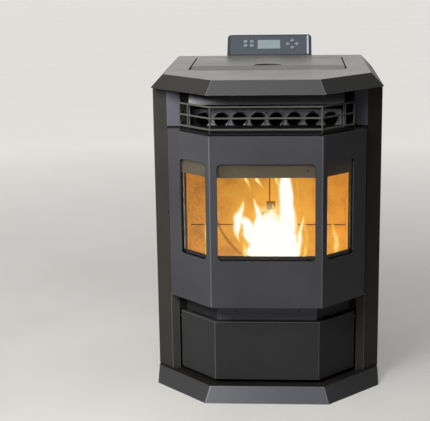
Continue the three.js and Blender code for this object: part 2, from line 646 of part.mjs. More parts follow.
// The cam latch: a spindle through the door's flange, a finger lever in the gap, and a blade behind the column.
// The blade lies level in the column's notch, and turns down behind the sheet under the notch.
function makeLatch() {
  const bladeFront = column.face + body.sheet + 0.4;
  const gapMid = (door.back + column.face) / 2;
  const half = latch.plate / 2;
  const spindle = bar('y', latch.spindle, [-latch.x, latch.z], door.back - door.plate - 6, bladeFront + 3, 16);
  const blade = box(-latch.x - latch.blade, -latch.x, bladeFront, bladeFront + 3, latch.z - 3, latch.z + 3);
  const lever = box(
    -latch.x - latch.lever, -latch.x, gapMid - half, gapMid + half, latch.z - 4.5, latch.z + 4.5);
  const collar = bar('y', latch.spindle + 2.5, [-latch.x, latch.z],
    door.back - door.plate - 6, door.back - door.plate - GAP, 16);
  return join(spindle, blade, lever, collar);
}

// ---------------------------------------------------------------- ash drawer

const drawerShape = { half: drawer.half, front: drawer.front, side: drawer.side };
const drawerBack = facetY(drawerShape, drawer.side) + 2 * drawer.sheet;
const panFront = drawerBack + GAP;
const panBack = panFront + pan.depth;

function makeDrawerFront() {
  const z1 = drawer.bottom + drawer.height;
  const t = drawer.sheet;
  return cut(
    prismZ(bay(drawerShape, drawerBack), drawer.bottom, z1),
    prismZ(bay(drawerShape, drawerBack - t, t), drawer.bottom + t, z1 - t),
    prismZ(bay(drawerShape, drawerBack - t, drawer.lip, 2 * drawer.lip), z1 - t - 1, z1 + 1));
}

function makePan() {
  const h = pan.width / 2;
  const t = pan.sheet;
  return cut(
    box(-h, h, panFront, panBack, pan.bottom, pan.bottom + pan.height),
    box(-h + t, h - t, panFront + t, panBack - t, pan.bottom + t, pan.bottom + pan.height + 1));
}

function makeRunner(sign) {
  const inner = pan.width / 2 - runner.width + GAP;
  const outer = pan.width / 2 + GAP;
  const rail = box(
    ...[sign * inner, sign * (outer + runner.upright)].sort((a, b) => a - b),
    faceFront, panBack, deck, pan.bottom - GAP);
  const upright = box(
    ...[sign * outer, sign * (outer + runner.upright)].sort((a, b) => a - b),
    faceFront, panBack, deck, deck + runner.height);
  return join(rail, upright);
}

// ---------------------------------------------------------------- hopper and feed

const flangeTop = coverUnder - GAP;
const hopperRear = body.depth - hopper.fromBack;
const throatFront = body.depth - throat.fromBack;
const dipAt = (y) => (lid.dip * Math.max(lid.crease - y, 0)) / (lid.crease - lid.front);
const throatBack = throatFront + throat.length;
const inletTop = auger.z + auger.tube + 2;

function makeHopper() {
  const h = hopper;
  const t = h.sheet;
  const flangeFront = lid.front - 9;
  const flangeRear = lidRear;
  const outline = (y0, y1, low) => [
    [y0, low(y0)], [lid.crease, low(lid.crease)], [y1, low(y1)],
    [y1, flangeTop], [lid.crease, flangeTop], [y0, flangeTop - dipAt(y0)],
  ];
  const flange = prismX(
    outline(flangeFront, flangeRear, (y) => flangeTop - t - dipAt(y)), -h.half - h.flange, h.half + h.flange);
  const collar = prismX(outline(h.front, hopperRear, () => h.slopeTop), -h.half, h.half);
  const funnel = loft(
    rectangle(throat.half, throatFront, throatBack), h.slopeBottom,
    rectangle(h.half, h.front, hopperRear), h.slopeTop + 0.01);
  const neck = box(-throat.half, throat.half, throatFront, throatBack, inletTop + GAP, h.slopeBottom + 0.01);
  const hollow = join(
    box(-h.half + t, h.half - t, h.front + t, hopperRear - t, h.slopeTop - 0.01, cover.height),
    loft(
      rectangle(throat.half - t, throatFront + t, throatBack - t), h.slopeBottom,
      rectangle(h.half - t, h.front + t, hopperRear - t), h.slopeTop),
    box(-throat.half + t, throat.half - t, throatFront + t, throatBack - t, inletTop - 1, h.slopeBottom + 0.01));
  return cut(join(flange, collar, funnel, neck), hollow);
}

const lidAxis = { y: lidRear + lidHinge.fromRear, z: cover.height - lidHinge.radius - 0.2 };
const knuckleSpan = (2 * lidHinge.half) / 5;
const knuckleXs = (parity) => Array.from({ length: 5 }, (_, i) => i)
  .filter((i) => i % 2 === parity)
  .map((i) => [-lidHinge.half + i * knuckleSpan + GAP, -lidHinge.half + (i + 1) * knuckleSpan - GAP]);

function makeLid() {
  const plan = prismZ(
    roundedRect(-lid.half, lid.half, lid.front, lidRear, lid.radius, 2), coverUnder - lid.dip - 10, cover.height + 1);
  const t = lid.thickness;
  const profile = prismX([
    [lid.front - 1, cover.height - lid.dip - t], [lid.crease, cover.height - t], [lidRear + 1, cover.height - t],
    [lidRear + 1, cover.height], [lid.crease, cover.height], [lid.front - 1, cover.height - lid.dip],
  ], -lid.half - 1, lid.half + 1);
  const slotY = lid.crease + fingerSlot.fromCrease;
  // a half-moon hole for the fingers, its straight side along the crease
  const slot = prismZ(
    Array.from({ length: fingerSlot.steps + 1 }, (_, i) => {
      const turn = Math.PI * i / fingerSlot.steps;
      return [fingerSlot.width / 2 * Math.cos(turn), slotY + fingerSlot.depth * Math.sin(turn)];
    }),
    coverUnder - 5, cover.height + 1);
  const knuckles = knuckleXs(1).flatMap(([x0, x1]) => [
    bar('x', lidHinge.radius, [lidAxis.y, lidAxis.z], x0, x1, 16),
    box(x0, x1, lidRear - 1, lidAxis.y, cover.height - t, lidAxis.z + lidHinge.radius * 0.8),
  ]);
  const bore = bar('x', lidHinge.pin + GAP, [lidAxis.y, lidAxis.z], -lidHinge.half - 1, lidHinge.half + 1, 12);
  return cut(join(cut(plan.intersect(profile), slot), ...knuckles), bore);
}

function makeLidHinge() {
  const z1 = flangeTop;
  const leaf = box(
    -lidHinge.half, lidHinge.half, lidAxis.y + 4, lidAxis.y + 4 + lidHinge.leaf, z1 - 2, z1);
  const knuckles = knuckleXs(0).flatMap(([x0, x1]) => [
    bar('x', lidHinge.radius, [lidAxis.y, lidAxis.z], x0, x1, 16),
    box(x0, x1, lidAxis.y, lidAxis.y + 5, z1 - 1.6, z1),
  ]);
  const pin = bar(
    'x', lidHinge.pin, [lidAxis.y, lidAxis.z], -lidHinge.half + GAP + 0.5, lidHinge.half - GAP - 0.5, 12);
  return join(leaf, pin, ...knuckles);
}

const augerEnd = throatBack + 16;

function makeAugerTube() {
  const t = auger.wall;
  const inletBox = box(
    -throat.half, throat.half, throatFront, throatBack, auger.z, inletTop);
  const tube = bar('y', auger.tube, [0, auger.z], auger.start, augerEnd, 16);
  return cut(
    join(tube, inletBox),
    bar('y', auger.tube - t, [0, auger.z], auger.start - 1, augerEnd - t, 16),
    box(-throat.half + t, throat.half - t, throatFront + t, throatBack - t, auger.z, inletTop + 1),
    box(-chute.half + 2 * t, chute.half - 2 * t, auger.start + 12, auger.start + chute.drop, auger.z - auger.tube - 1, auger.z),
    bar('y', auger.shaft + 0.5, [0, auger.z], augerEnd - t - 1, augerEnd + 1, 16));
}

// One unbroken helical flight, its root inside the shaft.
function flight(y0, y1) {
  const perTurn = 12;
  const turns = (y1 - y0 - auger.flightThickness) / auger.pitch;
  const steps = Math.round(turns * perTurn);
  const positions = [];
  const index = [];
  for (let i = 0; i <= steps; i++) {
    const a = (i / perTurn) * 2 * Math.PI;
    const y = y0 + (i / perTurn) * auger.pitch;
    for (const [r, dy] of [[auger.shaft - 1, 0], [auger.flight, 0],
      [auger.flight, auger.flightThickness], [auger.shaft - 1, auger.flightThickness]]) {
      positions.push(r * Math.cos(a), y + dy, auger.z - r * Math.sin(a));
    }
    if (i === steps) break;
    for (let k = 0; k < 4; k++) {
      const p = 4 * i + k;
      const q = 4 * i + ((k + 1) % 4);
      index.push(p, q, q + 4, p, q + 4, p + 4);
    }
  }
  const last = 4 * steps;
  index.push(0, 2, 1, 0, 3, 2, last, last + 1, last + 2, last, last + 2, last + 3);
  const g = new THREE.BufferGeometry();
  g.setAttribute('position', new THREE.Float32BufferAttribute(positions, 3));
  g.setIndex(index);
  const solid = toSolid(g);
  return solid.volume() > 0 ? solid : toSolid(flip(g));
}

function flip(geometry) {
  const index = Array.from(geometry.index.array);
  for (let i = 0; i < index.length; i += 3) {
    [index[i + 1], index[i + 2]] = [index[i + 2], index[i + 1]];
  }
  return geometry.clone().setIndex(index);
}

const gearboxFront = augerEnd + GAP;

const makeAugerScrew = () => join(
  bar('y', auger.shaft, [0, auger.z], auger.start + 2, gearboxFront + gearmotor.socket - 1, 16),
  flight(auger.start + 14, augerEnd - auger.wall - 3));

function makeGearmotor() {
  const g = gearmotor;
  const gearbox = box(
    -g.width / 2, g.width / 2, gearboxFront, gearboxFront + g.depth, auger.z - g.height / 2, auger.z + g.height / 2);
  const can = bar('y', g.can, [g.width / 2 - g.can - 2, auger.z - g.height / 2 + g.can + 2],
    gearboxFront + g.depth - 1, gearboxFront + g.depth + g.canLength, 16);
  return cut(
    join(gearbox, can),
    bar('y', auger.shaft + GAP, [0, auger.z], gearboxFront - 1, gearboxFront + g.socket, 16));
}

// The chute that drops pellets from the auger's end through the back of the firebox.
function makeChute() {
  const t = chute.sheet;
  const h = chute.half;
  const top = auger.z - auger.tube + 8;
  const y0 = firebox.rear + GAP;
  const y1 = auger.start + chute.drop + chute.inset;
  const { mouthBottom, mouthTop, toe, heel, shoulder, inset } = chute;
  const x1 = auger.start + inset;
  const outer = [
    [y0, mouthBottom - t], [y0 + toe, mouthBottom - t], [y1, mouthTop + heel],
    [y1, top], [x1, top], [x1, mouthTop + shoulder], [y0, mouthTop + t],
  ];
  const inner = [
    [y0 - 1, mouthBottom], [y0 + toe - 1, mouthBottom], [y1 - t, mouthTop + heel],
    [y1 - t, top + 1], [x1 + t, top + 1], [x1 + t, mouthTop + shoulder - 1], [y0 - 1, mouthTop],
  ];
  return cut(
    prismX(outer, -h - t, h + t),
    prismX(inner, -h, h),
    bar('y', auger.tube + GAP, [0, auger.z], auger.start - 1, y1 + 1, 16));
}

// ---------------------------------------------------------------- exhaust

const ductFront = firebox.rear + GAP;
const ductBack = ductFront + exhaust.ductDepth;
const fanX = (exhaust.ductLeft + exhaust.ductRight) / 2;
const fanFront = ductBack + GAP;
const fanBack = fanFront + exhaustFan.depth;

function makeExhaustDuct() {
  const e = exhaust;
  const t = e.sheet;
  return cut(
    box(e.ductLeft, e.ductRight, ductFront, ductBack, e.ductBottom, e.ductTop),
    box(e.ductLeft + t, e.ductRight - t, ductFront + t, ductBack - t, e.ductBottom + t, e.ductTop - t),
    box(e.ductLeft + ductPort.margin, e.ductRight - ductPort.margin, ductFront - 1, ductFront + t + 1,
      ductPort.bottom, ductPort.top),
    bar('y', exhaustFan.inlet, [fanX, exhaustFan.z], ductBack - t - 1, ductBack + 1, 16));
}

function makeExhaustHousing() {
  const f = exhaustFan;
  const t = exhaust.sheet;
  const room = (grow) => join(
    bar('y', f.radius + grow, [fanX, f.z], fanFront - Math.min(grow, 0), fanBack + Math.min(grow, 0), 20),
    box(flue.x - flue.boxHalf - grow, flue.x + flue.boxHalf + 20, fanFront - Math.min(grow, 0), fanBack + Math.min(grow, 0),
      flue.z - flue.boxHalf - grow, flue.z + flue.boxHalf + grow));
  return cut(
    room(0), room(-t),
    bar('y', f.inlet, [fanX, f.z], fanFront - 1, fanFront + t + 1, 16),
    bar('y', f.shaft + 1, [fanX, f.z], fanBack - t - 1, fanBack + 1, 16),
    bar('y', flue.radius - flue.wall, [flue.x, flue.z], fanBack - t - 1, fanBack + 1, 20));
}

function makeExhaustImpeller() {
  const f = exhaustFan;
  const disc = bar('y', f.impeller, [fanX, f.z], fanBack - 12, fanBack - 10, 20);
  const hub = bar('y', 12, [fanX, f.z], fanFront + 12, fanBack - 10, 16);
  const shaft = bar('y', f.shaft, [fanX, f.z], fanBack - 12, fanBack + 18, 16);
  const blades = Array.from({ length: f.blades }, (_, i) => {
    const g = new THREE.BoxGeometry(f.impeller - 10, exhaustFan.depth - 24, 2);
    g.translate((f.impeller - 10) / 2 + 8, 0, 0).rotateY((i / f.blades) * 2 * Math.PI);
    return toSolid(g.translate(fanX, (fanFront + fanBack) / 2 + 1, f.z));
  });
  return join(disc, hub, shaft, ...blades);
}

const makeExhaustMotor = () => cut(
  join(
    bar('y', exhaustFan.motor, [fanX, exhaustFan.z], fanBack + GAP, fanBack + GAP + exhaustFan.motorLength, 16),
    bar('y', exhaustFan.motor * 0.5, [fanX, exhaustFan.z], fanBack + exhaustFan.motorLength,
      fanBack + exhaustFan.motorLength + 12, 16)),
  bar('y', exhaustFan.shaft + GAP, [fanX, exhaustFan.z], fanBack - 1, fanBack + 22, 16));

const makeFlue = () => cut(
  join(
    bar('y', flue.radius, [flue.x, flue.z], fanBack + GAP, body.depth + flue.tail, 20),
    bar('y', flue.flange, [flue.x, flue.z], fanBack + GAP, fanBack + GAP + 2, 20)),
  bar('y', flue.radius - flue.wall, [flue.x, flue.z], fanBack - 1, body.depth + flue.tail + 1, 20));

// ---------------------------------------------------------------- warm-air blower

const airOutletTop = airFan.z + airFan.radius;
const airOutletBottom = airOutletTop - airFan.outlet;
const airFanRight = airDuct.right;
const airFanLeft = airFanRight - airFan.width;

function makeAirDuct() {
  const a = airDuct;
  const back = ductFront + a.depth;
  const hopperGap = 6;
  const slopeStart = ductFront + 8;
  const plenum = (k) => [
    [ductFront + k, a.plenumBottom + k], [back - k, a.plenumBottom + k],
    [back - k, firebox.top - (back - slopeStart) * 1.08 - k], [slopeStart - k / 2, firebox.top - hopperGap + 4 - k],
    [ductFront + k, firebox.top - hopperGap + 4 - k],
  ];
  const outer = join(
    prismX(plenum(0), -a.plenumHalf, a.plenumHalf),
    box(a.left, a.right, ductFront, back, a.bottom, a.plenumBottom + 1));
  const t = a.sheet;
  const inner = join(
    prismX(plenum(t), -a.plenumHalf + t, a.plenumHalf - t),
    box(a.left + t, a.right - t, ductFront + t, back - t, a.bottom + t, a.plenumBottom + t + 1));
  const ports = tubeXs.map((x) => bar('y', tubes.radius + 2, [x, tubes.z], ductFront - 1, ductFront + t + 1, TUBE_SIDES));
  const inlet = box(
    airFanLeft + 14, airFanRight - 2 * t, back - t - 1, back + 1, airOutletBottom + t, airOutletTop - t);
  return cut(outer, inner, ...ports, inlet);
}

function makeAirHousing() {
  const f = airFan;
  const t = airDuct.sheet;
  const front = ductFront + airDuct.depth + GAP;
  const room = (k) => join(
    bar('x', f.radius - k, [f.y, f.z], airFanLeft + k, airFanRight - k, 20),
    box(airFanLeft + k, airFanRight - k, front - (k ? 1 : 0), f.y, airOutletBottom + k, airOutletTop - k));
  const foot = box(airFanLeft, airFanRight, f.y - 30, f.y + 30, deck, f.z - f.radius * 0.8);
  return cut(
    join(room(0), cut(foot, bar('x', f.radius - 0.5, [f.y, f.z], airFanLeft - 1, airFanRight + 1, 20))),
    room(t),
    bar('x', f.radius * 0.6, [f.y, f.z], airFanLeft - 1, airFanLeft + t + 1, 16),
    bar('x', f.shaft + 1, [f.y, f.z], airFanRight - t - 1, airFanRight + 1, 16));
}

function makeAirImpeller() {
  const f = airFan;
  const x0 = airFanLeft + 8;
  const x1 = airFanRight - 8;
  const disc = bar('x', f.impeller, [f.y, f.z], x1 - 2, x1, 20);
  const ring = pipe('x', f.impeller, 6, [f.y, f.z], x0, x0 + 3, 20);
  const shaft = bar('x', f.shaft, [f.y, f.z], x1 - 20, airFanRight + 18, 16);
  const hub = bar('x', 11, [f.y, f.z], x1 - 20, x1, 16);
  const blades = Array.from({ length: f.blades }, (_, i) => {
    const g = new THREE.BoxGeometry(x1 - x0 - 2, 6, 1.5);
    g.translate(0, f.impeller - 3, 0).rotateX((i / f.blades) * 2 * Math.PI);
    return toSolid(g.translate((x0 + x1) / 2, f.y, f.z));
  });
  return join(disc, ring, shaft, hub, ...blades);
}

const makeAirMotor = () => cut(
  join(
    bar('x', airFan.motor, [airFan.y, airFan.z], airFanRight + GAP, airFanRight + GAP + airFan.motorLength, 16),
    box(airFanRight + GAP + 10, airFanRight + airFan.motorLength - 10, airFan.y - 25, airFan.y + 25,
      deck, airFan.z - airFan.motor * 0.6)),
  bar('x', airFan.shaft + GAP, [airFan.y, airFan.z], airFanRight - 1, airFanRight + 22, 16));

// ---------------------------------------------------------------- control panel and inlet

const panelGroup = new THREE.Group();
panelGroup.position.set(0, body.depth + panel.standoff, cover.height + panel.rise);
panelGroup.rotation.x = THREE.MathUtils.degToRad(90 - panel.tilt);

const faceHalf = panel.width / 2 - face.margin;
const arrowPlaces = {
  up: [arrowKey.x, arrowKey.y + arrowKey.offset],
  down: [arrowKey.x, arrowKey.y - arrowKey.offset],
  left: [arrowKey.x - arrowKey.offset, arrowKey.y],
  right: [arrowKey.x + arrowKey.offset, arrowKey.y],
};
const roundPlaces = roundKey.ys.flatMap((y) => roundKey.xs.map((x) => [x, y]));

// A diamond key outline round a centre.
const diamond = ([x, y], r) => [[x + r, y], [x, y + r], [x - r, y], [x, y - r]];
const keyHoles = (z0, z1) => [
  ...roundPlaces.map(([x, y]) => bar('z', roundKey.radius + keyClearance, [x, y], z0, z1, 20)),
  ...Object.values(arrowPlaces).map((at) => prismZ(diamond(at, arrowKey.size + 1.5 * keyClearance), z0, z1)),
];

function makePanelCase() {
  const w = panel.width / 2;
  const slab = prismZ(roundedRect(-w, w, 0, panel.height, 4, panel.radius), -panel.depth, 0);
  const frontInner = -face.recess - panel.front;
  const hollow = box(
    -w + panel.wall, w - panel.wall, panel.wall, panel.height - panel.wall, -panel.depth + panel.wall, frontInner);
  const slot = box(
    -cableSlot.half, cableSlot.half, cableSlot.bottom, cableSlot.top, -panel.depth - 1, -panel.depth + panel.wall + 1);
  const recess = box(
    -faceHalf - GAP, faceHalf + GAP, face.bottom - GAP, face.top + GAP, -face.recess, 1);
  // the foot is laid out upright in the stove's frame, then brought into the panel's
  const y0 = body.depth + GAP;
  const z0 = cover.height;
  const f = panelFoot;
  const foot = prismX([
    [y0, z0 - f.drop], [y0 + f.thickness, z0 - f.drop], [y0 + f.thickness, z0 - f.knee],
    [y0 + f.reach, z0 - f.shelf], [y0 + f.rest, z0 - 5], [y0, z0 - 10],
  ], -f.half, f.half);
  panelGroup.updateMatrix();
  const footGeometry = toGeometry(foot).applyMatrix4(panelGroup.matrix.clone().invert());
  return cut(
    join(slab, toSolid(footGeometry)), hollow, slot, recess, ...keyHoles(frontInner - 1, 1));
}

function makePanelFace() {
  const z0 = -face.thickness;
  return cut(
    box(-faceHalf, faceHalf, face.bottom, face.top, z0, 0),
    box(display.left - GAP, display.right + GAP, display.bottom - GAP, display.top + GAP, z0 - 1, 1),
    ...keyHoles(z0 - 1, 1));
}

const makeDisplay = () => box(
  display.left, display.right, display.bottom, display.top, -face.thickness, display.proud);

const makePowerInlet = () => {
  const { z, width, height, depth, recess, plate, rim, socket, socketHeight } = powerInlet;
  const back = body.depth;
  const shell = join(
    box(inletX - width / 2, inletX + width / 2, back + GAP, back + GAP + plate, z - height / 2, z + height / 2),
    box(inletX - width / 2 + rim, inletX + width / 2 - rim, back - depth, back + 1,
      z - height / 2 + rim, z + height / 2 - rim));
  const well = box(
    inletX - socket / 2, inletX + socket / 2, back - recess, back + plate + 2,
    z - socketHeight / 2, z + socketHeight / 2);
  const blades = [[-7, -3], [7, -3], [0, 3]].map(([dx, dz]) => box(
    inletX + dx - 1, inletX + dx + 1, back - recess - 1, back - 2, z + dz - 2, z + dz + 2));
  return join(cut(shell, well), ...blades);
};

// ---------------------------------------------------------------- assembly

add('base_plinth', makePlinth(), paint());
add('side_panel_left', sidePanel(-1), paint());
add('side_panel_right', sidePanel(1), paint());
add('rear_panel', makeRearPanel(), darkPaint());
add('top_cover', makeCover(), paint());
add('lower_apron', makeApron(), darkPaint());

add('firebox_shell', makeFireboxShell(), darkPaint());
add('brick_back', makeBrickBack(), fireclay());
add('brick_left', makeBrickSide(-1), fireclay());
add('brick_right', makeBrickSide(1), fireclay());
add('baffle_plate', makeBaffle(), iron());
add('pot_seat', makeSeat(), iron());
add('burn_pot', makePot(), iron());
add('igniter', makeIgniter(), steel());

add('heat_exchanger', makeHeatExchanger(), steel());
add('tube_scraper', makeScraper(), steel());
add('outlet_hood', makeHood(), zinc());
add('outlet_grille', makeGrille(), paint());

add('door_shell', makeDoor(), paint());
add('glass_centre', makeGlassCentre(), ceramicGlass());
add('glass_left', makeGlassSide(-1), ceramicGlass());
add('glass_right', makeGlassSide(1), ceramicGlass());
add('glass_retainer', makeRetainer(), darkPaint());
add('door_gasket', makeGasket(), ropeWhite());
add('hinge_upper', makeHinge(1), darkPaint());
add('hinge_lower', makeHinge(-1), darkPaint());
add('door_latch', makeLatch(), steel());

add('ash_drawer_front', makeDrawerFront(), paint());
add('ash_pan', makePan(), zinc());
add('drawer_runner_left', makeRunner(-1), steel());
add('drawer_runner_right', makeRunner(1), steel());

add('hopper', makeHopper(), zinc());
add('hopper_lid', makeLid(), paint());
add('lid_hinge', makeLidHinge(), steel());
add('auger_tube', makeAugerTube(), zinc());
add('auger_screw', makeAugerScrew(), steel());
add('auger_motor', makeGearmotor(), darkPaint());
add('feed_chute', makeChute(), zinc());

add('exhaust_duct', makeExhaustDuct(), steel());
add('exhaust_blower_housing', makeExhaustHousing(), iron());
add('exhaust_impeller', makeExhaustImpeller(), steel());
add('exhaust_motor', makeExhaustMotor(), darkPaint());
add('flue_collar', makeFlue(), zinc());

add('air_duct', makeAirDuct(), zinc());
add('air_blower_housing', makeAirHousing(), zinc());
add('air_impeller', makeAirImpeller(), steel());
add('air_motor', makeAirMotor(), darkPaint());
add('air_intake_pipe', makeIntake(), zinc());
add('power_inlet', makePowerInlet(), blackPlastic());

add('panel_case', makePanelCase(), blackPlastic(), panelGroup);
add('panel_face', makePanelFace(), finish(0x1a2034, 0.4, 0), panelGroup);
add('display_window', makeDisplay(), finish(0x8a9478, 0.15, 0), panelGroup);
roundPlaces.forEach((at, i) => add(
  `button_${i + 1}`, bar('z', roundKey.radius, at, -roundKey.stem, roundKey.proud, 20), finish(0xa8a8a8, 0.5, 0), panelGroup));
Object.entries(arrowPlaces).forEach(([name, at]) => add(
  `key_${name}`, prismZ(diamond(at, arrowKey.size), -roundKey.stem, roundKey.proud), finish(0xb0b0b0, 0.5, 0), panelGroup));
stove.add(panelGroup);

const overallDepth = body.depth + flue.tail;
stove.position.y = -overallDepth / 2;

const model = new THREE.Group();
model.add(stove);

export default model;
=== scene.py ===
"""Pellet stove with a bay door: its visible pieces and finishes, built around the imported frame.

Lengths in the classes are millimetres in the stove's own layout, where X runs to the right, Y
back from the plinth's front edge and Z up; place() turns them into metres in the frame.
"""

import logging
import math
import random
from abc import ABC, abstractmethod
from dataclasses import dataclass
from enum import Enum
from typing import Callable, Iterable, Optional, Sequence, Union

import bmesh
import bpy
from mathutils import Matrix, Vector


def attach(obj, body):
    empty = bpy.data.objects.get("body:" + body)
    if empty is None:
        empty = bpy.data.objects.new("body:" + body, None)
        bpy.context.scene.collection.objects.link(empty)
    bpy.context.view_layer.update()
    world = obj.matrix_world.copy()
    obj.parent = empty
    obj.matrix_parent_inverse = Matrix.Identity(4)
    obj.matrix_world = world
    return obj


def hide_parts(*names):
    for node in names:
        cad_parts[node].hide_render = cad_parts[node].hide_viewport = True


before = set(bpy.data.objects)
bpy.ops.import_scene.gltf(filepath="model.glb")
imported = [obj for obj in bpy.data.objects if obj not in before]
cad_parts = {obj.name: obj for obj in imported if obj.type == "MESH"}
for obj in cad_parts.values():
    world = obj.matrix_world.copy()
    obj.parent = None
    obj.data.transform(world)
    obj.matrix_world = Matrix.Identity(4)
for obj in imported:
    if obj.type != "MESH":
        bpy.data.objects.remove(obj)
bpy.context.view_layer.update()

LOG = logging.getLogger("stove")
DEPTH_TO_ORIGIN = 340.0  # mm from the plinth's front edge to the frame's origin
MM = 0.001
BAY_TURN = math.radians(45)  # the side facets of the door, drawer and plinth
WELD = 2e-6  # metres; vertices that are nearer than this are one
FLAT_TURN = math.radians(0.6)  # faces that turn less than this are one flat

Point = tuple[float, float, float]
Piece = bpy.types.Object
Socket = bpy.types.NodeSocket
Value = Union[float, int, bool, str, Sequence[float], Socket]


def place(x: float, y: float, z: float) -> Vector:
    """Turn a layout point in millimetres into a point of the frame in metres."""
    return Vector((x * MM, (y - DEPTH_TO_ORIGIN) * MM, z * MM))


def layout(point: Vector) -> Vector:
    """Turn a point of the frame in metres into a layout point in millimetres."""
    return Vector((point.x / MM, point.y / MM + DEPTH_TO_ORIGIN, point.z / MM))


def linear(code: str) -> tuple[float, float, float, float]:
    """Turn an sRGB hex colour into the linear colour that shaders take.

    Args:
        code: six hex digits with a leading hash.

    Returns:
        Red, green, blue and an alpha of one.
    """
    channels = (int(code[i : i + 2], 16) / 255 for i in (1, 3, 5))
    r, g, b = (c / 12.92 if c <= 0.04045 else ((c + 0.055) / 1.055) ** 2.4 for c in channels)
    return (r, g, b, 1.0)


class Body(Enum):
    """The moving bodies that pieces ride on."""

    CABINET = "cabinet"
    DOOR = "door"
    LATCH = "latch"
    LID = "lid"
    DRAWER = "drawer"
    POT = "pot"
    SCRAPER = "scraper"


class Slot(Enum):
    """The record's finishes."""

    CHARCOAL = "charcoal_paint"
    DARK = "dark_paint"
    FIRECLAY = "fireclay"
    IRON = "cast_iron"
    STEEL = "steel"
    ZINC = "zinc_sheet"
    GLASS = "ceramic_glass"
    ROPE = "glass_rope"
    PLASTIC = "black_plastic"
    MEMBRANE = "navy_membrane"
    DISPLAY = "display_glass"
    KEYS = "key_grey"


# ---------------------------------------------------------------- node helpers


class Nodes:
    """A node tree under construction."""

    def __init__(self, tree: bpy.types.NodeTree) -> None:
        """Take the tree that gets the nodes."""
        self.tree = tree

    def put(self, socket: Socket, value: Value) -> None:
        """Link a socket to an output, or give it a value; a hex code becomes a colour."""
        if isinstance(value, Socket):
            self.tree.links.new(value, socket)
        elif isinstance(value, str) and value.startswith("#"):
            socket.default_value = linear(value)
        else:
            socket.default_value = value

    def add(
        self, kind: str, inputs: Optional[dict[Union[str, int], Value]] = None, **settings: Value
    ) -> bpy.types.Node:
        """Add one node with its settings, and set or link its inputs.

        Args:
            kind: the node's type name.
            inputs: values or output sockets, by input name or index.
            settings: attributes of the node itself.

        Returns:
            The new node.
        """
        node = self.tree.nodes.new(kind)
        for name, value in settings.items():
            setattr(node, name, value)
        for name, value in (inputs or {}).items():
            self.put(node.inputs[name], value)
        return node

    def math(self, operation: str, *values: Value) -> Socket:
        """Add a Math node and return its output."""
        return self.add("ShaderNodeMath", dict(enumerate(values)), operation=operation).outputs[0]

    def mix(self, factor: Value, low: Value, high: Value, mode: str = "MIX") -> Socket:
        """Mix two colours by a factor and return the mixed colour."""
        inputs = {0: factor, 6: low, 7: high}
        mixed = self.add("ShaderNodeMix", inputs, data_type="RGBA", blend_type=mode, clamp_factor=True)
        return mixed.outputs[2]

    def choose(self, factor: Value, low: Value, high: Value) -> Socket:
        """Mix two numbers by a factor and return the mixed number."""
        return self.add("ShaderNodeMix", {0: factor, 2: low, 3: high}, data_type="FLOAT").outputs[0]

    def span(self, value: Value, low: float, high: float, out_low: float, out_high: float) -> Socket:
        """Map a value from one range to another, clamped, and return the result."""
        inputs = {0: value, 1: low, 2: high, 3: out_low, 4: out_high}
        return self.add("ShaderNodeMapRange", inputs, clamp=True).outputs[0]


class Surface(Nodes):
    """A material's nodes: the main shader and the point that is shaded."""

    NOISE_ROUGHNESS = 0.55
    # nearly all of a noise lies between these two values
    NOISE_LOW = 0.3
    NOISE_HIGH = 0.7

    def __init__(self, material: bpy.types.Material) -> None:
        """Take the material's shader, and the point's place in the frame in metres."""
        super().__init__(material.node_tree)
        self.shader = self.tree.nodes["Principled BSDF"]
        self.where = self.add("ShaderNodeTexCoord").outputs["Object"]

    def feed(self, inputs: dict[str, Value]) -> None:
        """Set or link the shader's inputs."""
        for name, value in inputs.items():
            self.put(self.shader.inputs[name], value)

    def noise(self, size: float, detail: float = 3.0, where: Optional[Socket] = None) -> Socket:
        """Return a noise of the given grain size in millimetres."""
        inputs = {
            "Vector": self.where if where is None else where,
            "Scale": 1 / (size * MM),
            "Detail": detail,
            "Roughness": self.NOISE_ROUGHNESS,
        }
        return self.add("ShaderNodeTexNoise", inputs).outputs["Fac"]

    def spread(self, noise: Socket, out_low: float, out_high: float) -> Socket:
        """Map the whole of a noise to a range."""
        return self.span(noise, self.NOISE_LOW, self.NOISE_HIGH, out_low, out_high)

    def around(self, noise: Socket, middle: float, swing: float) -> Socket:
        """Map the whole of a noise to a range on both sides of a middle."""
        return self.spread(noise, middle - swing, middle + swing)

    def cells(self, size: float, output: str, **inputs: Value) -> Socket:
        """Return an output of a cell pattern whose cells have the given size in millimetres."""
        inputs = {"Vector": self.where, "Scale": 1 / (size * MM), **inputs}
        return self.add("ShaderNodeTexVoronoi", inputs).outputs[output]

    def scaled(self, scale: Sequence[float]) -> Socket:
        """Return the point's place, scaled along each axis."""
        return self.add("ShaderNodeMapping", {"Vector": self.where, "Scale": scale}).outputs[0]

    def relief(self, height: Socket, depth: float) -> None:
        """Raise the surface by a height field, to a depth in millimetres."""
        bump = self.add("ShaderNodeBump", {"Height": height, "Distance": depth * MM})
        self.feed({"Normal": bump.outputs["Normal"]})


# ---------------------------------------------------------------- finishes

BLACK = (0.0, 0.0, 0.0, 1.0)


@dataclass(frozen=True)
class Finish(ABC):
    """A procedural finish: one material, made once and then shared."""

    name: str

    @abstractmethod
    def dress(self, surface: Surface) -> None:
        """Set the surface's colour, roughness and relief."""

    def material(self) -> bpy.types.Material:
        """Return this finish's material, making it the first time."""
        made = bpy.data.materials.get(self.name)
        if made:
            return made
        made = bpy.data.materials.new(self.name)
        made.use_nodes = True
        self.dress(Surface(made))
        return made


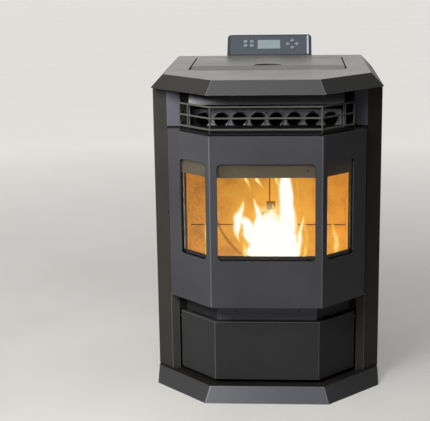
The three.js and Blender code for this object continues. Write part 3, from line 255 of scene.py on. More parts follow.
@dataclass(frozen=True)
class HeatPaint(Finish):
    """Sprayed and baked stove paint on sheet steel: fine pores, and tone that drifts a little."""

    tone: str
    drift: str
    roughness: float = 0.5
    grain: float = 0.9
    depth: float = 0.05
    patch: float = 120.0
    level: float = 0.5
    patch_share: float = 0.65
    pore_share: float = 0.35
    patch_swing: float = 0.05
    pore_swing: float = 0.04

    def dress(self, surface: Surface) -> None:
        """Give the paint its two tones, its sheen and its pores."""
        broad = surface.noise(self.patch, 4.0)
        fine = surface.noise(self.grain, 2.0)
        pores = surface.span(fine, 0.35, 0.7, 0.0, self.pore_share)
        amount = surface.math("ADD", surface.spread(broad, 0.0, self.patch_share), pores)
        smooth = surface.around(broad, self.roughness, self.patch_swing)
        surface.feed({
            "Base Color": surface.mix(amount, self.tone, self.drift),
            "Roughness": surface.math("ADD", smooth, surface.around(fine, 0.0, self.pore_swing)),
            "Specular IOR Level": self.level,
        })
        surface.relief(fine, self.depth)


@dataclass(frozen=True)
class SheetMetal(Finish):
    """Bare or zinc-coated sheet: drawn streaks along one axis, and spangle where it is coated."""

    tone: str
    shade: str
    roughness: float
    stretch: Point = (1.0, 12.0, 1.0)
    spangle: float = 0.0
    streak: float = 2.2
    spangle_share: float = 0.75
    depth: float = 0.02

    def dress(self, surface: Surface) -> None:
        """Give the sheet its streaks, its spangle and its soft gloss."""
        streaks = surface.noise(self.streak, 3.0, surface.scaled([1 / s for s in self.stretch]))
        amount = surface.spread(streaks, 0.0, 1.0)
        if self.spangle:
            colour = surface.cells(self.spangle, "Color")
            grey = surface.add("ShaderNodeRGBToBW", {0: colour}).outputs[0]
            rest = surface.math("MULTIPLY", amount, 1 - self.spangle_share)
            amount = surface.math("MULTIPLY_ADD", grey, self.spangle_share, rest)
        surface.feed({
            "Base Color": surface.mix(amount, self.shade, self.tone),
            "Roughness": surface.span(amount, 0.0, 1.0, self.roughness + 0.08, self.roughness - 0.05),
            "Metallic": 1.0,
        })
        surface.relief(streaks, self.depth)


@dataclass(frozen=True)
class CastIron(Finish):
    """Sand-cast iron, oxidised and sooty, with a coarse skin."""

    tone: str = "#242220"
    ash: str = "#4a4540"
    roughness: float = 0.78
    skin: float = 1.6
    dust: float = 28.0
    metallic: float = 0.35
    depth: float = 0.35

    def dress(self, surface: Surface) -> None:
        """Give the iron its coarse skin and its dusting of ash."""
        skin = surface.noise(self.skin, 4.0)
        dust = surface.span(surface.noise(self.dust, 5.0), 0.45, 0.7, 0.0, 1.0)
        surface.feed({
            "Base Color": surface.mix(dust, self.tone, self.ash),
            "Roughness": surface.span(skin, 0.2, 0.8, self.roughness - 0.12, self.roughness + 0.1),
            "Metallic": self.metallic,
        })
        surface.relief(skin, self.depth)


@dataclass(frozen=True)
class FireBrick(Finish):
    """Pressed vermiculite board: sandy flakes and pits, with a painted glow of fire light round the hearth.
    """

    tone: str = "#e3b24d"
    flake: str = "#d59b3f"
    soot: str = "#a86a2c"
    joint: str = "#5e3612"
    speckle: str = "#5a3414"
    back_face: float = 280.4
    side_face: float = 211.4
    joint_fade: float = 1.2
    # the tint and level of the board's own glow, painted fire light
    glow: str = "#fff2d8"
    painted_firelight_level: float = 0.8
    hearth: Point = (60.0, 213.0, 380.0)
    reach: tuple[float, float] = (90.0, 350.0)
    sooted: tuple[float, float] = (-205.0, -120.0)
    flake_size: float = 2.6
    cloud_size: float = 60.0
    pit_size: float = 7.0
    speckle_size: float = 3.2
    roughness: float = 0.9
    depth: float = 0.6

    def dress(self, surface: Surface) -> None:
        """Give the board its flakes, its pits and the warmth round the fire."""
        flakes = surface.noise(self.flake_size, 5.0)
        cloud = surface.noise(self.cloud_size, 4.0)
        pit = surface.span(surface.cells(self.pit_size, "Distance"), 0.08, 0.22, 1.0, 0.0)
        board = surface.mix(surface.span(flakes, 0.35, 0.7, 0.0, 1.0), self.tone, self.flake)
        board = surface.mix(surface.span(cloud, 0.42, 0.7, 0.0, 0.6), board, self.soot)
        board = surface.mix(surface.math("MULTIPLY", pit, 0.55), board, self.soot)
        # soot speckles gather toward the left end
        across = surface.add("ShaderNodeSeparateXYZ", {0: surface.where}).outputs["X"]
        left, right = self.sooted
        leftward = surface.span(across, left * MM, right * MM, 0.75, 0.08)
        specks = surface.span(surface.noise(self.speckle_size), 0.56, 0.64, 0.0, 1.0)
        board = surface.mix(surface.math("MULTIPLY", specks, leftward), board, self.speckle)
        # the joints and the recess, deeper than the boards' faces, are dark in the joints' own colour; along
        # the curved arch groove the same dark is a painted shadow
        deep = surface.math("MAXIMUM", self.behind(surface, "Y"), self.behind(surface, "X"))
        board = surface.mix(deep, board, self.joint)
        # painted fire light: the board glows by itself, most near the hearth
        hearth = {0: surface.where, 1: tuple(place(*self.hearth))}
        away = surface.add("ShaderNodeVectorMath", hearth, operation="DISTANCE").outputs["Value"]
        near, far = self.reach
        warmth = surface.span(away, near * MM, far * MM, 1.0, 0.55)
        surface.feed({
            "Base Color": board,
            "Emission Color": surface.mix(warmth, BLACK, surface.mix(1.0, board, self.glow, "MULTIPLY")),
            "Emission Strength": self.painted_firelight_level,
            "Roughness": self.roughness,
        })
        surface.relief(surface.math("SUBTRACT", flakes, surface.math("MULTIPLY", pit, 0.6)), self.depth)

    def behind(self, surface: Surface, axis: str) -> Socket:
        """Return how far a point lies behind the boards' faces on one axis, from 0 to 1."""
        distance = surface.add("ShaderNodeSeparateXYZ", {0: surface.where}).outputs[axis]
        if axis == "X":
            distance = surface.math("ABSOLUTE", distance)
            face = self.side_face * MM
        else:
            face = (self.back_face - DEPTH_TO_ORIGIN) * MM
        return surface.span(distance, face, face + self.joint_fade * MM, 0.0, 1.0)


@dataclass(frozen=True)
class Moulding(Finish):
    """Moulded plastic or printed membrane with a fine spark-eroded grain."""

    tone: str
    drift: str
    roughness: float = 0.45
    grain: float = 0.35
    depth: float = 0.02
    level: float = 0.5
    patch: float = 30.0

    def dress(self, surface: Surface) -> None:
        """Give the moulding its grain and its slight change of tone."""
        fine = surface.noise(self.grain, 2.0)
        broad = surface.spread(surface.noise(self.patch), 0.0, 1.0)
        surface.feed({
            "Base Color": surface.mix(broad, self.tone, self.drift),
            "Roughness": surface.span(fine, 0.2, 0.8, self.roughness - 0.06, self.roughness + 0.06),
            "Specular IOR Level": self.level,
        })
        surface.relief(fine, self.depth)


@dataclass(frozen=True)
class WindowGlass(Finish):
    """Clear glass-ceramic pane, faintly warm, with a trace of soot haze."""

    tone: str = "#fffaf2"
    sooty: str = "#efe6d8"
    haze: float = 0.02
    patch: float = 45.0
    refraction: float = 1.5

    def dress(self, surface: Surface) -> None:
        """Make the pane clear, with a little soot in its gloss."""
        soot = surface.noise(self.patch, 4.0)
        surface.feed({
            "Base Color": surface.mix(surface.span(soot, 0.4, 0.8, 0.0, 0.4), self.tone, self.sooty),
            "Roughness": surface.span(soot, 0.3, 0.8, 0.0, self.haze),
            "IOR": self.refraction,
            "Transmission Weight": 1.0,
        })


@dataclass(frozen=True)
class Display(Finish):
    """Unlit grey-green liquid crystal window with its faint grid of dots."""

    tone: str = "#5e6c70"
    shade: str = "#536167"
    dot: float = 1.3
    patch: float = 40.0
    roughness: float = 0.18

    def dress(self, surface: Surface) -> None:
        """Give the window its dots and its gloss."""
        dots = surface.span(surface.cells(self.dot, "Distance", Randomness=0.0), 0.3, 0.5, 0.0, 0.35)
        amount = surface.math("ADD", dots, surface.spread(surface.noise(self.patch, 2.0), 0.0, 0.5))
        surface.feed({
            "Base Color": surface.mix(amount, self.tone, self.shade),
            "Roughness": self.roughness,
        })


@dataclass(frozen=True)
class GlassRope(Finish):
    """Knitted glass-fibre rope, off-white and slightly scorched."""

    tone: str = "#b9b2a2"
    scorch: str = "#6d665a"
    yarn: float = 0.8
    patch: float = 22.0
    roughness: float = 0.85
    sheen: float = 0.2
    depth: float = 0.25

    def dress(self, surface: Surface) -> None:
        """Give the rope its yarns and its scorched patches."""
        yarn = surface.noise(self.yarn)
        scorched = surface.span(surface.noise(self.patch, 4.0), 0.4, 0.75, 0.0, 1.0)
        base = surface.mix(scorched, self.tone, self.scorch)
        surface.feed({
            "Base Color": surface.mix(surface.span(yarn, 0.45, 0.7, 0.0, 0.5), base, self.scorch),
            "Roughness": self.roughness,
            "Sheen Weight": self.sheen,
        })
        surface.relief(yarn, self.depth)


@dataclass(frozen=True)
class Flame(Finish):
    """Burning gas: white-yellow inside, amber at the edge, thinning to nothing at the rim."""

    level: float = 1.2
    lick: float = 16.0
    rise: Point = (1.0, 1.0, 0.35)
    heats: tuple[tuple[float, str], ...] = (
        (0.0, "#e08c1e"), (0.2, "#f2bc48"), (0.38, "#ffeaa8"), (0.6, "#ffffff")
    )

    def dress(self, surface: Surface) -> None:
        """Colour the flame by its warmth and thin it by its veil."""
        warmth, veil = (
            surface.add("ShaderNodeAttribute", attribute_name=name).outputs["Fac"]
            for name in ("warmth", "veil")
        )
        lick = surface.noise(self.lick, 3.0, surface.scaled(self.rise))
        warmer = surface.math("ADD", warmth, surface.around(lick, 0.0, 0.08))
        ramp = surface.add("ShaderNodeValToRGB", {0: warmer})
        stops = ramp.color_ramp.elements
        stops.remove(stops[1])
        coolest, *hotter = self.heats
        stops[0].position, stops[0].color = coolest[0], linear(coolest[1])
        for at, code in hotter:
            stops.new(at).color = linear(code)
        surface.feed({
            "Base Color": BLACK,
            "Roughness": 1.0,
            "Specular IOR Level": 0.0,
            "Emission Color": ramp.outputs["Color"],
            "Emission Strength": self.level,
            "Alpha": surface.math("MULTIPLY", veil, surface.span(lick, 0.25, 0.6, 0.7, 1.0)),
        })


@dataclass(frozen=True)
class Ember(Finish):
    """Compressed wood pellets, part of them glowing."""

    tone: str = "#6b4527"
    char: str = "#1c1512"
    glow: str = "#ff7a1c"
    dull: tuple[float, float, float, float] = (0.02, 0.004, 0.0, 1.0)
    patch: float = 7.0
    level: float = 1.2
    roughness: float = 0.85

    def dress(self, surface: Surface) -> None:
        """Char the pellets and let some of them glow."""
        burnt = surface.span(surface.noise(self.patch), 0.4, 0.6, 0.0, 1.0)
        surface.feed({
            "Base Color": surface.mix(burnt, self.tone, self.char),
            "Emission Color": surface.mix(burnt, self.glow, self.dull),
            "Emission Strength": self.level,
            "Roughness": self.roughness,
        })


@dataclass(frozen=True)
class StudioFloor(Finish):
    """Plain pale floor."""

    tone: str = "#7a7874"
    drift: str = "#9e9c99"
    pale: str = "#e9e6e2"
    lift: tuple[float, float] = (0.3, 0.78)
    lift_metres: tuple[float, float] = (0.8, 3.5)
    patch: float = 600.0
    roughness: float = 0.7

    def dress(self, surface: Surface) -> None:
        """Keep the floor plain, pale and matt."""
        # a lift that only the eye sees, so that the floor stays pale and keeps its shadow
        seen = surface.add("ShaderNodeLightPath").outputs["Is Camera Ray"]
        reach = surface.add("ShaderNodeVectorMath", {0: surface.where}, operation="LENGTH").outputs["Value"]
        lift = surface.span(reach, *self.lift_metres, *self.lift)
        surface.feed({
            "Base Color": surface.mix(surface.noise(self.patch, 2.0), self.tone, self.drift),
            "Roughness": self.roughness,
            "Emission Color": self.pale,
            "Emission Strength": surface.math("MULTIPLY", seen, lift),
        })


# the colours below are the charcoal family of one stove paint; several are lighter or darker copies of it
# that paint in light and shade, as each comment says

# satin high-temperature paint on the door
CHARCOAL = HeatPaint("Satin charcoal stove paint", "#38383b", "#404043", 0.42, level=0.25)
# the same paint, paler on folded edges as a painted highlight
EDGE_HIGHLIGHT_PAINT = HeatPaint(
    "Satin charcoal stove paint with a painted edge highlight", "#56565b", "#606065", 0.38, level=0.35
)
# the same paint, paler at the door's two vertical creases as a painted highlight
CREASE_HIGHLIGHT_PAINT = HeatPaint(
    "Satin charcoal stove paint with a painted crease highlight", "#58585d", "#606065", 0.38, level=0.35
)
# the paler paint of the apron and of the columns' cheeks, lightened as painted light where they lie in shade
LIGHTENED_PAINT = HeatPaint("Lightened charcoal stove paint", "#4f5057", "#57585f", 0.42, level=0.3)
# the bluer, paler paint of the plinth, a painted reflection of the light from above
PLINTH_REFLECTION_PAINT = HeatPaint("Charcoal stove paint with a painted blue reflection", "#37383e", "#3e3f45", 0.42, level=0.3)
# painted shade: a darker copy of the paint on the drawer, in the door's shade, and on the top's front and the
# flanks, which turn from the light
SHADED_PAINT = HeatPaint("Shaded charcoal stove paint", "#29292a", "#2f2f30", 0.48, level=0.2)
# painted shade on the darkest sheets: the plinth's ledge, which lies in shadow, and the top's front corners,
# which turn away from the light
DEEP_SHADE_PAINT = HeatPaint("Deep shade stove paint", "#131211", "#191716", 0.45, level=0.2)
# the warmer paint of the corner columns
COLUMN_PAINT = HeatPaint("Satin umber stove paint", "#2b2a26", "#33312c", 0.45, level=0.25)
# the smoother, glossier paint of the top
TOP_PAINT = HeatPaint("Semi-gloss charcoal stove paint", "#403b35", "#46413b", 0.37, 0.9, 0.01, level=0.6)
# painted shade: the darker band across the front of the hopper's lid, where it slopes away from the light
LID_BAND_SHADE_PAINT = HeatPaint("Semi-gloss stove paint with painted shade", "#2d2a26", "#33302b", 0.42, 0.9, 0.01, level=0.4)
# matt heat paint inside and at the back; also laid as painted shadow in the rebate behind the door, along the
# door's outer edges and on the grille below its tray
MATT_BLACK = HeatPaint("Matt black heat paint", "#111112", "#171718", 0.7, 1.2, 0.07, level=0.12)
# sooted sheet behind the glass and in the window openings
SOOT_BLACK = HeatPaint("Soot black sheet", "#060606", "#0b0b0b", 0.8, 1.2, 0.05, level=0.05)
# heat-resisting sheet above the glass, dulled grey by use
HEAT_GREY = HeatPaint("Heat dulled grey sheet", "#656157", "#726d62", 0.55, 1.2, 0.05, level=0.2)
# wire of the air outlet, a paler olive grey than the cabinet
RAIL_PAINT = HeatPaint("Pale olive wire paint", "#44433d", "#525149", 0.4, 0.7, 0.03, level=0.3)
# grey hood over the air outlet, a flat pale grey as painted reflection in place of its shiny metal
HOOD_REFLECTION_PAINT = HeatPaint("Grey hood paint standing for reflections", "#6a6a6d", "#7a7a7d", 0.36, 0.9, 0.04, level=0.5)
# aluminised plate that the heat tubes end in, painted paler as painted light so that it shows lit in the
# cover's shade
LIT_TUBE_PLATE = HeatPaint("Aluminised tube plate, painted lit", "#7d7f84", "#8c8e93", 0.38, 0.8, 0.03, level=0.5)
# black oxide on the small screws
BLACK_OXIDE = HeatPaint("Black oxide screw", "#161616", "#1e1e1e", 0.4, 0.5, 0.02)
# bare steel of the runners, tubes, fans and scraper, and the chute's, browned by the fire
MILL_STEEL = SheetMetal("Mill finish steel", "#9a9b9c", "#77787a", 0.38)
CHUTE_STEEL = SheetMetal("Heat stained steel", "#6b4526", "#3d2814", 0.5, (1.0, 1.0, 1.0), 9.0)
# zinc on the ducts and the ash pan, and plated on the rear panel's screws
ZINC_SHEET = SheetMetal("Galvanised sheet", "#b5bac0", "#82888f", 0.34, (1.0, 1.0, 1.0), 9.0)
SCREW_ZINC = SheetMetal("Bright zinc plated screw", "#8f9296", "#6b6e72", 0.32)
# cast iron of the burn pot, its seat, the baffle and the exhaust blower
IRON = CastIron("Cast iron")
# insulating boards round the fire
BRICK = FireBrick("Vermiculite fire board")
# plastics and prints of the control panel, and the pale strip of its painted highlight
CASE_PLASTIC = Moulding("Black moulded plastic", "#1a1b20", "#212228", 0.5, level=0.2)
NAVY = Moulding("Navy membrane", "#1e252e", "#232b35", 0.42, 0.6, 0.01, level=0.3)
KEY_GREY = Moulding("Grey silicone key", "#5e6972", "#545e67", 0.5, level=0.3)
# painted highlight: a pale strip for the light on the panel face's right edge
PANEL_HIGHLIGHT_STRIP = Moulding("Pale strip of painted highlight", "#8f97a4", "#868e9b", 0.4)
LCD = Display("Liquid crystal window")
# panes and rope seals of the door
PANE = WindowGlass("Clear glass ceramic")
ROPE = GlassRope("Glass fibre rope")
# the fire and the pellets that feed it
FIRE = Flame("Pellet flame")
EMBER = Ember("Glowing wood pellet")
FLOOR = StudioFloor("Pale studio floor")


# ---------------------------------------------------------------- making and finishing pieces


def new_piece(name: str, mesh: bpy.types.Mesh) -> Piece:
    """Put a mesh in the scene as an object at the origin."""
    piece = bpy.data.objects.new(name, mesh)
    bpy.context.scene.collection.objects.link(piece)
    return piece


def from_bmesh(name: str, bm: bmesh.types.BMesh, smooth: bool = False) -> Piece:
    """Turn a bmesh into an object at the origin, and free the bmesh.

    Args:
        name: the new object's name.
        bm: the geometry, in metres.
        smooth: whether faces are shaded smooth.

    Returns:
        The new object.
    """
    for f in bm.faces:
        f.smooth = smooth
    mesh = bpy.data.meshes.new(name)
    bm.to_mesh(mesh)
    bm.free()
    return new_piece(name, mesh)


def evaluated(piece: Piece) -> bpy.types.Mesh:
    """Return the mesh that a piece's modifiers make, under the piece's name."""
    graph = bpy.context.evaluated_depsgraph_get()
    graph.update()
    made = bpy.data.meshes.new_from_object(piece.evaluated_get(graph), depsgraph=graph)
    made.name = piece.name
    return made


def shade_smooth(piece: Piece) -> None:
    """Shade all of a piece's faces smooth."""
    for face in piece.data.polygons:
        face.use_smooth = True


def bake(piece: Piece) -> Piece:
    """Turn a piece's modifiers into plain mesh, and remove them.

    Args:
        piece: an object with live modifiers.

    Returns:
        The same object with its evaluated mesh.
    """
    made = evaluated(piece)
    piece.modifiers.clear()
    old = piece.data
    piece.data = made
    if old.users == 0:
        bpy.data.meshes.remove(old)
    return piece


def dress(piece: Piece, *finishes: Finish) -> None:
    """Give a piece its materials, one for each slot, keeping each face's slot index."""
    while len(piece.data.materials) > len(finishes):
        piece.data.materials.pop()
    for index, finish in enumerate(finishes):
        if index < len(piece.data.materials):
            piece.data.materials[index] = finish.material()
        else:
            piece.data.materials.append(finish.material())


def repaint(
    piece: Piece, finish: Finish, chosen: Callable[[Vector, Vector], bool]
) -> None:
    """Give another finish to some faces of a piece.

    Args:
        piece: the object.
        finish: the finish.
        chosen: whether a face gets it, from its middle in layout millimetres and its normal.
    """
    piece.data.materials.append(finish.material())
    for face in piece.data.polygons:
        if chosen(layout(face.center), face.normal):
            face.material_index = len(piece.data.materials) - 1


def settle(
    piece: Piece, body: Body, replaces: Sequence[str] = ()
) -> Piece:
    """Fix a finished piece to its body, hide the CAD nodes that it stands for, and log it.

    Args:
        piece: the finished object.
        body: the body that it moves with.
        replaces: CAD nodes that it stands for.

    Returns:
        The same object.
    """
    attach(piece, body.value)
    if replaces:
        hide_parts(*replaces)
    LOG.info("%s on %s, %d faces", piece.name, body.value, len(piece.data.polygons))
    return piece


def keep(node: str, finish: Finish) -> None:
    """Leave a CAD node's shape as it is and give it a finish."""
    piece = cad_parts[node]
    dress(piece, finish)
    LOG.info("%s kept, %s", node, finish.name)


def join_faces(bm: bmesh.types.BMesh) -> None:
    """Join vertices that meet, and triangles that lie flat together."""
    bmesh.ops.remove_doubles(bm, verts=bm.verts, dist=WELD)
    bmesh.ops.dissolve_limit(bm, angle_limit=FLAT_TURN, verts=bm.verts, edges=bm.edges)


def merged_copy(node: str) -> bmesh.types.BMesh:
    """Copy a CAD node's mesh with its loose triangles joined into flat faces."""
    bm = bmesh.new()
    bm.from_mesh(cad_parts[node].data)
    join_faces(bm)
    return bm


def box(name: str, low: Point, high: Point) -> Piece:
    """Make a closed box from its layout corners in millimetres."""
    bm = bmesh.new()
    centre = place(*((a + b) / 2 for a, b in zip(low, high)))
    size = Vector(abs(b - a) * MM for a, b in zip(low, high))
    matrix = Matrix.Translation(centre) @ Matrix.Diagonal((*size, 1))
    bmesh.ops.create_cube(bm, size=1.0, matrix=matrix)
    return from_bmesh(name, bm)


def rounded(
    piece: Piece,
    width: float,
    segments: int = 2,
    angle: float = 25.0,
    edge_slot: int = -1,
) -> Piece:
    """Round a piece's sharp edges and keep its flats flat.

    Args:
        piece: the object.
        width: the rounding's width in millimetres.
        segments: faces across each rounding.
        angle: edges turn by more than this many degrees to be rounded.
        edge_slot: the material slot of the roundings, or -1 for the neighbour's.

    Returns:
        The same object as plain mesh.
    """
    shade_smooth(piece)
    bevel = piece.modifiers.new("rounding", "BEVEL")
    bevel.width = width * MM
    bevel.segments = segments
    bevel.limit_method = "ANGLE"
    bevel.angle_limit = math.radians(angle)
    bevel.use_clamp_overlap = True
    bevel.material = edge_slot
    flats = piece.modifiers.new("flats", "WEIGHTED_NORMAL")
    flats.mode, flats.weight, flats.keep_sharp = "FACE_AREA", 100, True
    return bake(piece)


def soften(
    node: str,
    body: Body,
    finish: Finish,
    edge: Optional[Finish] = None,
    width: float = 0.8,
    cutters: Sequence[Piece] = (),
    name: Optional[str] = None,
    divide: Sequence[tuple[str, float]] = (),
) -> Piece:
    """Replace a CAD node with a copy whose folds and cut edges are rounded.

    Args:
        node: the CAD node.
        body: the body that it moves with.
        finish: the finish of its faces.
        edge: the finish of its roundings, where it differs.
        width: the rounding's width in millimetres.
        cutters: objects whose shapes are taken out first.
        name: the new piece's name.
        divide: planes that split its faces without cutting it, as an axis and a layout place.

    Returns:
        The new piece.
    """
    bm = merged_copy(node)
    for axis, at in divide:
        where, normal = [0.0, 0.0, 0.0], [0.0, 0.0, 0.0]
        index = "xyz".index(axis)
        where[index], normal[index] = at, 1.0
        parts = bm.verts[:] + bm.edges[:] + bm.faces[:]
        bmesh.ops.bisect_plane(bm, geom=parts, plane_co=place(*where), plane_no=normal)
    piece = from_bmesh(name or node + "_sheet", bm)
    for cutter in cutters:
        take = piece.modifiers.new("cut", "BOOLEAN")
        take.operation, take.solver, take.object = "DIFFERENCE", "EXACT", cutter
        bake(piece)
        bpy.data.objects.remove(cutter)
    if cutters:
        bm = bmesh.new()
        bm.from_mesh(piece.data)
        join_faces(bm)
        bm.to_mesh(piece.data)
        bm.free()
    piece.data.materials.clear()
    dress(piece, *([finish, edge] if edge else [finish]))
    rounded(piece, width, edge_slot=1 if edge else -1)
    return settle(piece, body, (node,))


# ---------------------------------------------------------------- geometry node trees


class Grower(Nodes):
    """A Geometry Nodes tree under construction, with named inputs."""

    def __init__(self, name: str) -> None:
        """Make an empty tree with a geometry input and output."""
        super().__init__(bpy.data.node_groups.new(name, "GeometryNodeTree"))
        for way in ("INPUT", "OUTPUT"):
            self.tree.interface.new_socket("Geometry", in_out=way, socket_type="NodeSocketGeometry")
        self.name = name
        self.start = self.tree.nodes.new("NodeGroupInput")
        self.identifiers: dict[str, str] = {}

    def size(self, name: str, kind: str = "NodeSocketFloat") -> Socket:
        """Add a named input and return its socket."""
        made = self.tree.interface.new_socket(name, in_out="INPUT", socket_type=kind)
        self.identifiers[name] = made.identifier
        return self.start.outputs[name]

    def close(self, geometry: Socket) -> None:
        """End the tree with real geometry in the given material."""
        material = self.size("Material", "NodeSocketMaterial")
        real = self.add("GeometryNodeRealizeInstances", {"Geometry": geometry})
        painted = self.add(
            "GeometryNodeSetMaterial", {"Geometry": real.outputs[0], "Material": material}
        )
        end = self.tree.nodes.new("NodeGroupOutput")
        self.tree.links.new(painted.outputs[0], end.inputs[0])

    def grow(
        self, piece: Piece, finish: Finish, sizes: dict[str, Value]
    ) -> Piece:
        """Run the tree on a piece and turn the result into plain mesh.

        Args:
            piece: the object whose mesh or curve feeds the tree.
            finish: the finish of what grows.
            sizes: the named inputs' values.

        Returns:
            The same object, or a new mesh object where a curve was given.
        """
        modifier = piece.modifiers.new(self.name, "NODES")
        modifier.node_group = self.tree
        for name, value in sizes.items():
            modifier[self.identifiers[name]] = value
        modifier[self.identifiers["Material"]] = finish.material()
        if piece.type == "MESH":
            return bake(piece)
        made = evaluated(piece)
        name = piece.name
        bpy.data.objects.remove(piece)
        return new_piece(name, made)


def marks(name: str, places: Iterable[tuple[Vector, Vector]]) -> Piece:
    """Make loose points that carry the direction they face.

    Args:
        name: the new object's name.
        places: a point in metres and an outward direction for each.

    Returns:
        The object, with the direction in its facing attribute.
    """
    spots = list(places)
    mesh = bpy.data.meshes.new(name)
    mesh.from_pydata([tuple(p) for p, _ in spots], [], [])
    facing = mesh.attributes.new("facing", "FLOAT_VECTOR", "POINT")
    for item, (_, out) in zip(facing.data, spots):
        item.vector = out.normalized()
    return new_piece(name, mesh)


def scatter(grower: Grower, shape: Socket) -> Socket:
    """Set a shape that points up at each mark, turned to the way it faces."""
    facing = grower.add("GeometryNodeInputNamedAttribute", {"Name": "facing"}, data_type="FLOAT_VECTOR")
    turned = grower.add("FunctionNodeAlignRotationToVector", {"Vector": facing.outputs[0]}, axis="Z")
    points = grower.add("GeometryNodeMeshToPoints", {"Mesh": grower.start.outputs["Geometry"]})
    inputs = {"Points": points.outputs[0], "Instance": shape, "Rotation": turned.outputs[0]}
    return grower.add("GeometryNodeInstanceOnPoints", inputs).outputs[0]


class ScrewMaker:
    """Pan-head screws with a dished drive recess, set at marked places."""

    SIDES = 20
    CROWN_SHARE = 0.7
    RECESS_SHARE = 0.62
    RECESS_DEPTH = 0.55
    FACES_UP = 0.9

    def __init__(self) -> None:
        """Build the tree once."""
        g = Grower("Pan head screws")
        radius, height = g.size("Radius"), g.size("Height")
        crown = g.math("MULTIPLY", radius, self.CROWN_SHARE)
        head = g.add(
            "GeometryNodeMeshCone",
            {"Vertices": self.SIDES, "Radius Top": crown, "Radius Bottom": radius, "Depth": height},
        )
        normal = g.add("GeometryNodeInputNormal")
        upward = g.add("ShaderNodeSeparateXYZ", {0: normal.outputs[0]}).outputs["Z"]
        top = g.add(
            "FunctionNodeCompare", {0: upward, 1: self.FACES_UP}, data_type="FLOAT", operation="GREATER_THAN"
        )
        rim = g.add(
            "GeometryNodeExtrudeMesh",
            {"Mesh": head.outputs["Mesh"], "Selection": top.outputs[0], "Offset Scale": 0.0},
            mode="FACES",
        )
        inner = g.add(
            "GeometryNodeScaleElements",
            {"Geometry": rim.outputs["Mesh"], "Selection": rim.outputs["Top"], "Scale": self.RECESS_SHARE},
        )
        sunk = g.add(
            "GeometryNodeExtrudeMesh",
            {
                "Mesh": inner.outputs[0],
                "Selection": rim.outputs["Top"],
                "Offset Scale": g.math("MULTIPLY", height, -self.RECESS_DEPTH),
            },
            mode="FACES",
        )
        g.close(scatter(g, sunk.outputs["Mesh"]))
        self.grower = g

    def set(
        self,
        name: str,
        body: Body,
        places: Iterable[tuple[Vector, Vector]],
        radius: float,
        finish: Finish,
        slot: Slot,
        height: float = 1.6,
    ) -> Piece:
        """Set one body's screws as one piece.

        Args:
            name: the piece's name.
            body: the body that holds them.
            places: where each head sits and which way it faces.
            radius: the head's radius in millimetres.
            finish: the screws' finish.
            slot: the record's finish; not used.
            height: the head's height in millimetres.

        Returns:
            The screws as one mesh.
        """
        screws = self.grower.grow(
            marks(name, places), finish, {"Radius": radius * MM, "Height": height * MM}
        )
        return settle(screws, body)


def along(line: Sequence[Point], t: float) -> Point:
    """Return the point at a share of the way along a smooth line through the given points."""
    at = t * (len(line) - 1)
    i = min(int(at), len(line) - 2)
    f = at - i
    before, start, end, after = (line[min(max(j, 0), len(line) - 1)] for j in (i - 1, i, i + 1, i + 2))
    return tuple(
        0.5 * (2 * b + (c - a) * f + (2 * a - 5 * b + 4 * c - d) * f ** 2 + (3 * b - a - 3 * c + d) * f ** 3)
        for a, b, c, d in zip(before, start, end, after)
    )


# ---------------------------------------------------------------- studio


